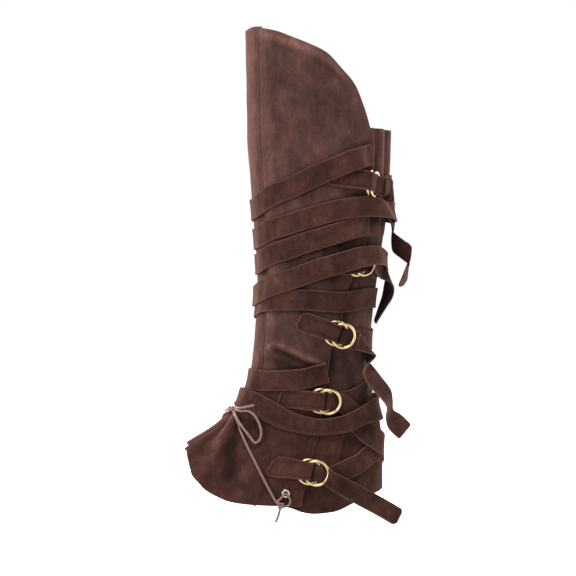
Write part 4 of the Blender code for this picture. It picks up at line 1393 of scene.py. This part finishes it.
# The fourth goes on down round the heel.
cross = laid_rows([(127, -17, 6.9), (130, -21, 6.9), (135, -26.5, 7.5), (141, -31, 8.7),
                   (150, -36, 9.2), (158, -40, 8.8), (165, -43.5, 7.4), (170, -46, 6.9),
                   (182, -52, 6.8), (200, -60, 6.7), (222, -68, 6.7)],
                  ground=lambda t, z: 0.5, step=1.6, seed=6.0)
near4 = [(B4.in_plane(11.9, 0, 5.25), B4.w), (B4.in_plane(14.0, 0, 5.1), B4.w),
         by_form(114.5, 3.0, 6.4, 22), by_form(119.5, -2.5, 6.4, 36),
         by_form(123.5, -9.0, 6.4, 46)]
lead4 = flat_rows([p for p, _ in near4], [18.2, 18.4, 18.6, 19, 19.5], [a for _, a in near4])
rows4 = finer(joined(lead4, cross[::3]), 1.6)
tail(4, rows4, B4.n)


# ------------------------------------------------------------------ eyelets and lace
def make_eyelet(side, t, z, off):
    rd, up, out = axes(t, z)
    up = out.cross(rd).normalized()
    centre = form(t, z, off)
    deselect()
    bpy.ops.mesh.primitive_torus_add(major_segments=48, minor_segments=14,
                                     major_radius=EYELET_MAJOR * MM,
                                     minor_radius=EYELET_RIM * MM)
    piece = bpy.context.object
    piece.name = "nickel_eyelet_" + side
    # Flattened, more so underneath.
    for v in piece.data.vertices:
        v.co.z *= 0.62 if v.co.z > 0 else 0.4
    place = turned_to(rd, up, out)
    piece.data.transform(Matrix.Translation((centre + out * 0.45) * MM) @ place)
    if place.determinant() < 0:
        piece.data.flip_normals()
    smooth_shaded(piece.data)
    piece.data.materials.append(NICKEL)
    dress(piece, "eyelet_" + side)


def smooth_line(points, spacing=2.0):
    out = []
    n = len(points)
    for k in range(n - 1):
        p0, p1 = points[max(0, k - 1)], points[k]
        p2, p3 = points[k + 1], points[min(n - 1, k + 2)]
        cuts = max(2, int(round((p2 - p1).length / spacing)))
        for i in range(cuts):
            out.append(on_curve(p0, p1, p2, p3, i / cuts))
    out.append(points[-1])
    return out


def lace_piece(name, node, line, radius, thickness):
    """Round lace along a line; thickness gives its share of the radius at each place."""
    cu = bpy.data.curves.new(name, "CURVE")
    cu.dimensions = "3D"
    cu.bevel_depth = radius * MM
    cu.bevel_resolution = 4
    cu.use_fill_caps = True
    sp = cu.splines.new("POLY")
    sp.points.add(len(line) - 1)
    for k, p in enumerate(line):
        sp.points[k].co = (*(p * MM), 1)
        sp.points[k].radius = thickness(k)
    cu.materials.append(LACE)
    piece = bpy.data.objects.new(name, cu)
    bpy.context.scene.collection.objects.link(piece)
    dress(piece, node)
    return piece


def lace(name, node, points, radius=LACE_RADIUS, spacing=2.0):
    """Leather lace on one smooth curve, slightly uneven in thickness."""
    line = smooth_line([Vector(p) for p in points], spacing)
    piece = lace_piece(name, node, line, radius,
                       lambda k: 0.95 + 0.05 * wander(k / 3, 0.0, radius))
    return piece, line


def wound_knot(name, node, centre, along, radius, half, turns=2.4):
    """Knot: the lace wound over itself round one direction."""
    along = along.normalized()
    a = along.orthogonal().normalized()
    b = along.cross(a).normalized()
    points = []
    steps = int(turns * 14)
    for k in range(steps + 1):
        q = k / steps
        turn_by = 2 * math.pi * turns * q
        r = radius * (1 - 0.35 * abs(2 * q - 1) ** 3)
        points.append(centre + (a * math.cos(turn_by) + b * math.sin(turn_by)) * r
                      + along * half * (2 * q - 1))
    return lace_piece(name, node, points, KNOT_LACE_RADIUS, lambda k: 1.0)


BOW = form(15, -9.3, 10.9)


def at_bow(x, y, z, reach):
    """Where a lace leaves the bow's knot, in this direction."""
    return BOW + Vector((x, y, z)).normalized() * reach


bow_knot = wound_knot("bow_knot_lace", "bow_knot", BOW, axes(14, -7)[1], 1.9, 1.8)
for side, mirror in (("outer", 1), ("inner", -1)):
    def sided(t, m=mirror):
        return t if m > 0 else 360 - t

    def on(t, z, off, m=mirror):
        """A place on the spat, on this side of the foot."""
        return form(sided(t, m), z, off)

    eye_t, eye_z = 88.0, -85.0
    seat = VAMP_REAR_TOP + 0.3
    make_eyelet(side, sided(eye_t), eye_z, seat)
    kt, kz = 86.5, -98.0
    kc = on(kt, kz, seat + 2.6)
    knot_piece = wound_knot("knot_lace_" + side, "lace_knot_" + side, kc, Vector((0, 0, 1)),
                            1.6, 1.9)
    eye_piece, _ = lace("eye_lace_" + side, "lace_eye_" + side,
                        [on(87.6, -95.6, seat + 2.9), on(85.2, -93.4, seat + 2.4),
                         on(86.2, -89.4, seat + 2.9), on(88.0, -85.0, seat + 1.5),
                         on(88.9, -88.0, seat + 3.0), on(89.8, -92.0, seat + 2.8),
                         on(89.4, -96.4, seat + 2.4), on(87.6, -98.4, seat + 2.7)],
                        radius=EYE_LACE_RADIUS, spacing=1.0)
    tail_piece, _ = lace("end_lace_" + side, "lace_tail_" + side,
                         [kc + Vector((-0.5, 0, -2.6)), kc + Vector((-2.2, 0.3, -9)),
                          kc + Vector((-4.8, 0.5, -15.5))])
    strand = [(86.1, -97.1), (84.2, -91.1), (81.8, -82.7), (78.7, -73.4), (74.9, -63.8),
              (70.1, -54.2), (64.1, -44.9), (55.4, -35.7), (44.2, -26.8), (34.5, -19.4)]
    lift = LACE_RADIUS + 0.4
    pts = [on(t, z, vamp_surface(sided(t), z) + lift
              + 0.6 * ease((t - 40) / 30)) for t, z in strand]
    away = (pts[-1] - BOW).normalized()
    pts[0] = kc + (pts[1] - kc).normalized() * 2.4
    if mirror < 0:
        pts = pts[:-1] + [on(24, -17, HEEL_TOP + lift), on(9, -14, HEEL_TOP + lift)]
        away = (pts[-1] - BOW).normalized()
    pts.append(BOW + away * 3.4)
    strand_piece, line = lace("strand_lace_" + side, "lace_strand_" + side, pts)
    round(length_of(line), 3)

loops = {
    "outer": [at_bow(3.4, -5.4, 1.2, 3.2)]
    + [form(t, z, off) for t, z, off in (
        (28.9, -10.0, 13), (34.8, -8.9, 13.5), (39.1, -8.9, 13), (45.2, -11.7, 12.5),
        (51.5, -16.5, 12), (58.0, -24.1, 12), (62.6, -31.4, 12), (63.9, -36.0, 12),
        (62.1, -36.8, 12), (57.6, -33.2, 12), (49.8, -27.8, 12), (41.1, -21.8, 12),
        (31.4, -16.2, 12))] + [at_bow(2.8, -6.4, -2.2, 3.4)],
    "inner": [at_bow(-3.4, 2.0, -1.5, 3.2), seen(-95.2, -5.0, -14), seen(-98.8, -10.4, -8),
              seen(-100.6, -16.2, 0), seen(-99.4, -20.0, 8), seen(-96.0, -18.0, 15),
              seen(-93.6, -10.5, 15), seen(-92.4, -4.5, 6), at_bow(-1.5, 5.4, 1.5, 3.4)],
}
ends = {
    "outer": [at_bow(4.2, -3.0, 5.4, 3.6), form(28.0, -8.0, 15.0), form(33.5, -5.6, 16.2),
              form(39.4, -1.7, 17)],
    "inner": [at_bow(-3.6, 2.2, 3.6, 3.4), seen(-94.6, -3.4, -8), seen(-97.0, -6.0, 3),
              seen(-97.2, -12.0, 9)],
}
for side in ("outer", "inner"):
    end_piece, _ = lace("bow_end_lace_" + side, "bow_end_" + side, ends[side])
    loop_piece, line = lace("bow_loop_lace_" + side, "bow_loop_" + side, loops[side])
    round(length_of(line), 3)


# ------------------------------------------------------------------ sewn lines
def stitch_places_on(places, height):
    """Stitches along degrees and heights, on the cloth's face there."""
    pts, outs = [], []
    for t, z in places:
        pts.append(form(t, z, height(t, z)))
        outs.append(axes(t, z)[2])
    stitch_line(pts, outs)


stitch_places_on([(26.4 + 3.2, z) for z in range(100, 386, 3)], outer_height)
stitch_places_on([(96 - 3.2 - 2.2 * ease((-60 - z) / 40), z) for z in range(-95, -22, 2)],
                 vamp_surface)
stitch_places_on([(264 + 3.2 + 2.2 * ease((-60 - z) / 40), z) for z in range(-95, -22, 2)],
                 vamp_surface)
stitch_places_on([(t, mirrored(BAND_LOW, t) + 2.2) for t in range(14, 178, 2)], band_height)
stitch_places_on([(t, mirrored(BAND_LOW, t) + 2.2) for t in range(186, 346, 2)], band_height)
sew("thread_stitches")


# ------------------------------------------------------------------ stage and light
deselect()
bpy.ops.mesh.primitive_plane_add(size=40, location=(0, 0, 0))
floor = bpy.context.object
floor.name = "stage_floor"
floor.data.transform(Matrix.Translation((0, 0, -0.137)))
ground, n, link, shader = new_material("stage_white")
shader.inputs["Base Color"].default_value = (0.9, 0.9, 0.9, 1)
shader.inputs["Roughness"].default_value = 0.95
shader.inputs["Specular IOR Level"].default_value = 0.0
shader.inputs["Emission Color"].default_value = (1, 1, 1, 1)
seen_by = n.new("ShaderNodeLightPath")
link(remap(n, link, seen_by.outputs["Is Camera Ray"], 0.12, 0.85),
     shader.inputs["Emission Strength"])
floor.data.materials.append(ground)

scene = bpy.context.scene
scene.view_settings.view_transform = "Standard"
scene.view_settings.look = "None"
world = bpy.data.worlds.new("studio")
scene.world = world
world.use_nodes = True
nodes, link = world.node_tree.nodes, world.node_tree.links.new
fill = nodes["Background"]
fill.inputs["Color"].default_value = (0.97, 0.98, 1.0, 1)
fill.inputs["Strength"].default_value = 0.18
white = nodes.new("ShaderNodeBackground")
white.inputs["Strength"].default_value = 1.0
white.inputs["Color"].default_value = (1, 1, 1, 1)
path = nodes.new("ShaderNodeLightPath")
either = nodes.new("ShaderNodeMixShader")
link(path.outputs["Is Camera Ray"], either.inputs[0])
link(fill.outputs[0], either.inputs[1])
link(white.outputs[0], either.inputs[2])
link(either.outputs[0], nodes["World Output"].inputs["Surface"])


def lamp(name, location, size, power, aim_at=(0, 0, 0.13), colour=(1, 1, 1)):
    data = bpy.data.lights.new(name, "AREA")
    data.shape = "RECTANGLE"
    data.size, data.size_y = size
    data.energy = power
    data.color = colour
    ob = bpy.data.objects.new(name, data)
    ob.location = location
    direction = Vector(aim_at) - Vector(location)
    ob.rotation_euler = direction.to_track_quat("-Z", "Y").to_euler()
    scene.collection.objects.link(ob)


lamp("left_softbox", (-1.5, -0.9, 0.8), (0.6, 1.3), 33)
lamp("right_softbox", (1.6, -0.1, 0.7), (0.6, 1.4), 17)
lamp("left_rim", (-1.0, 1.25, 0.5), (0.5, 1.2), 46, colour=(1.0, 0.93, 0.86))
lamp("right_rim", (1.35, 0.85, 0.4), (0.4, 1.2), 15, colour=(1.0, 0.93, 0.86))
lamp("top_softbox", (-0.1, -0.9, 1.9), (0.9, 0.7), 44)
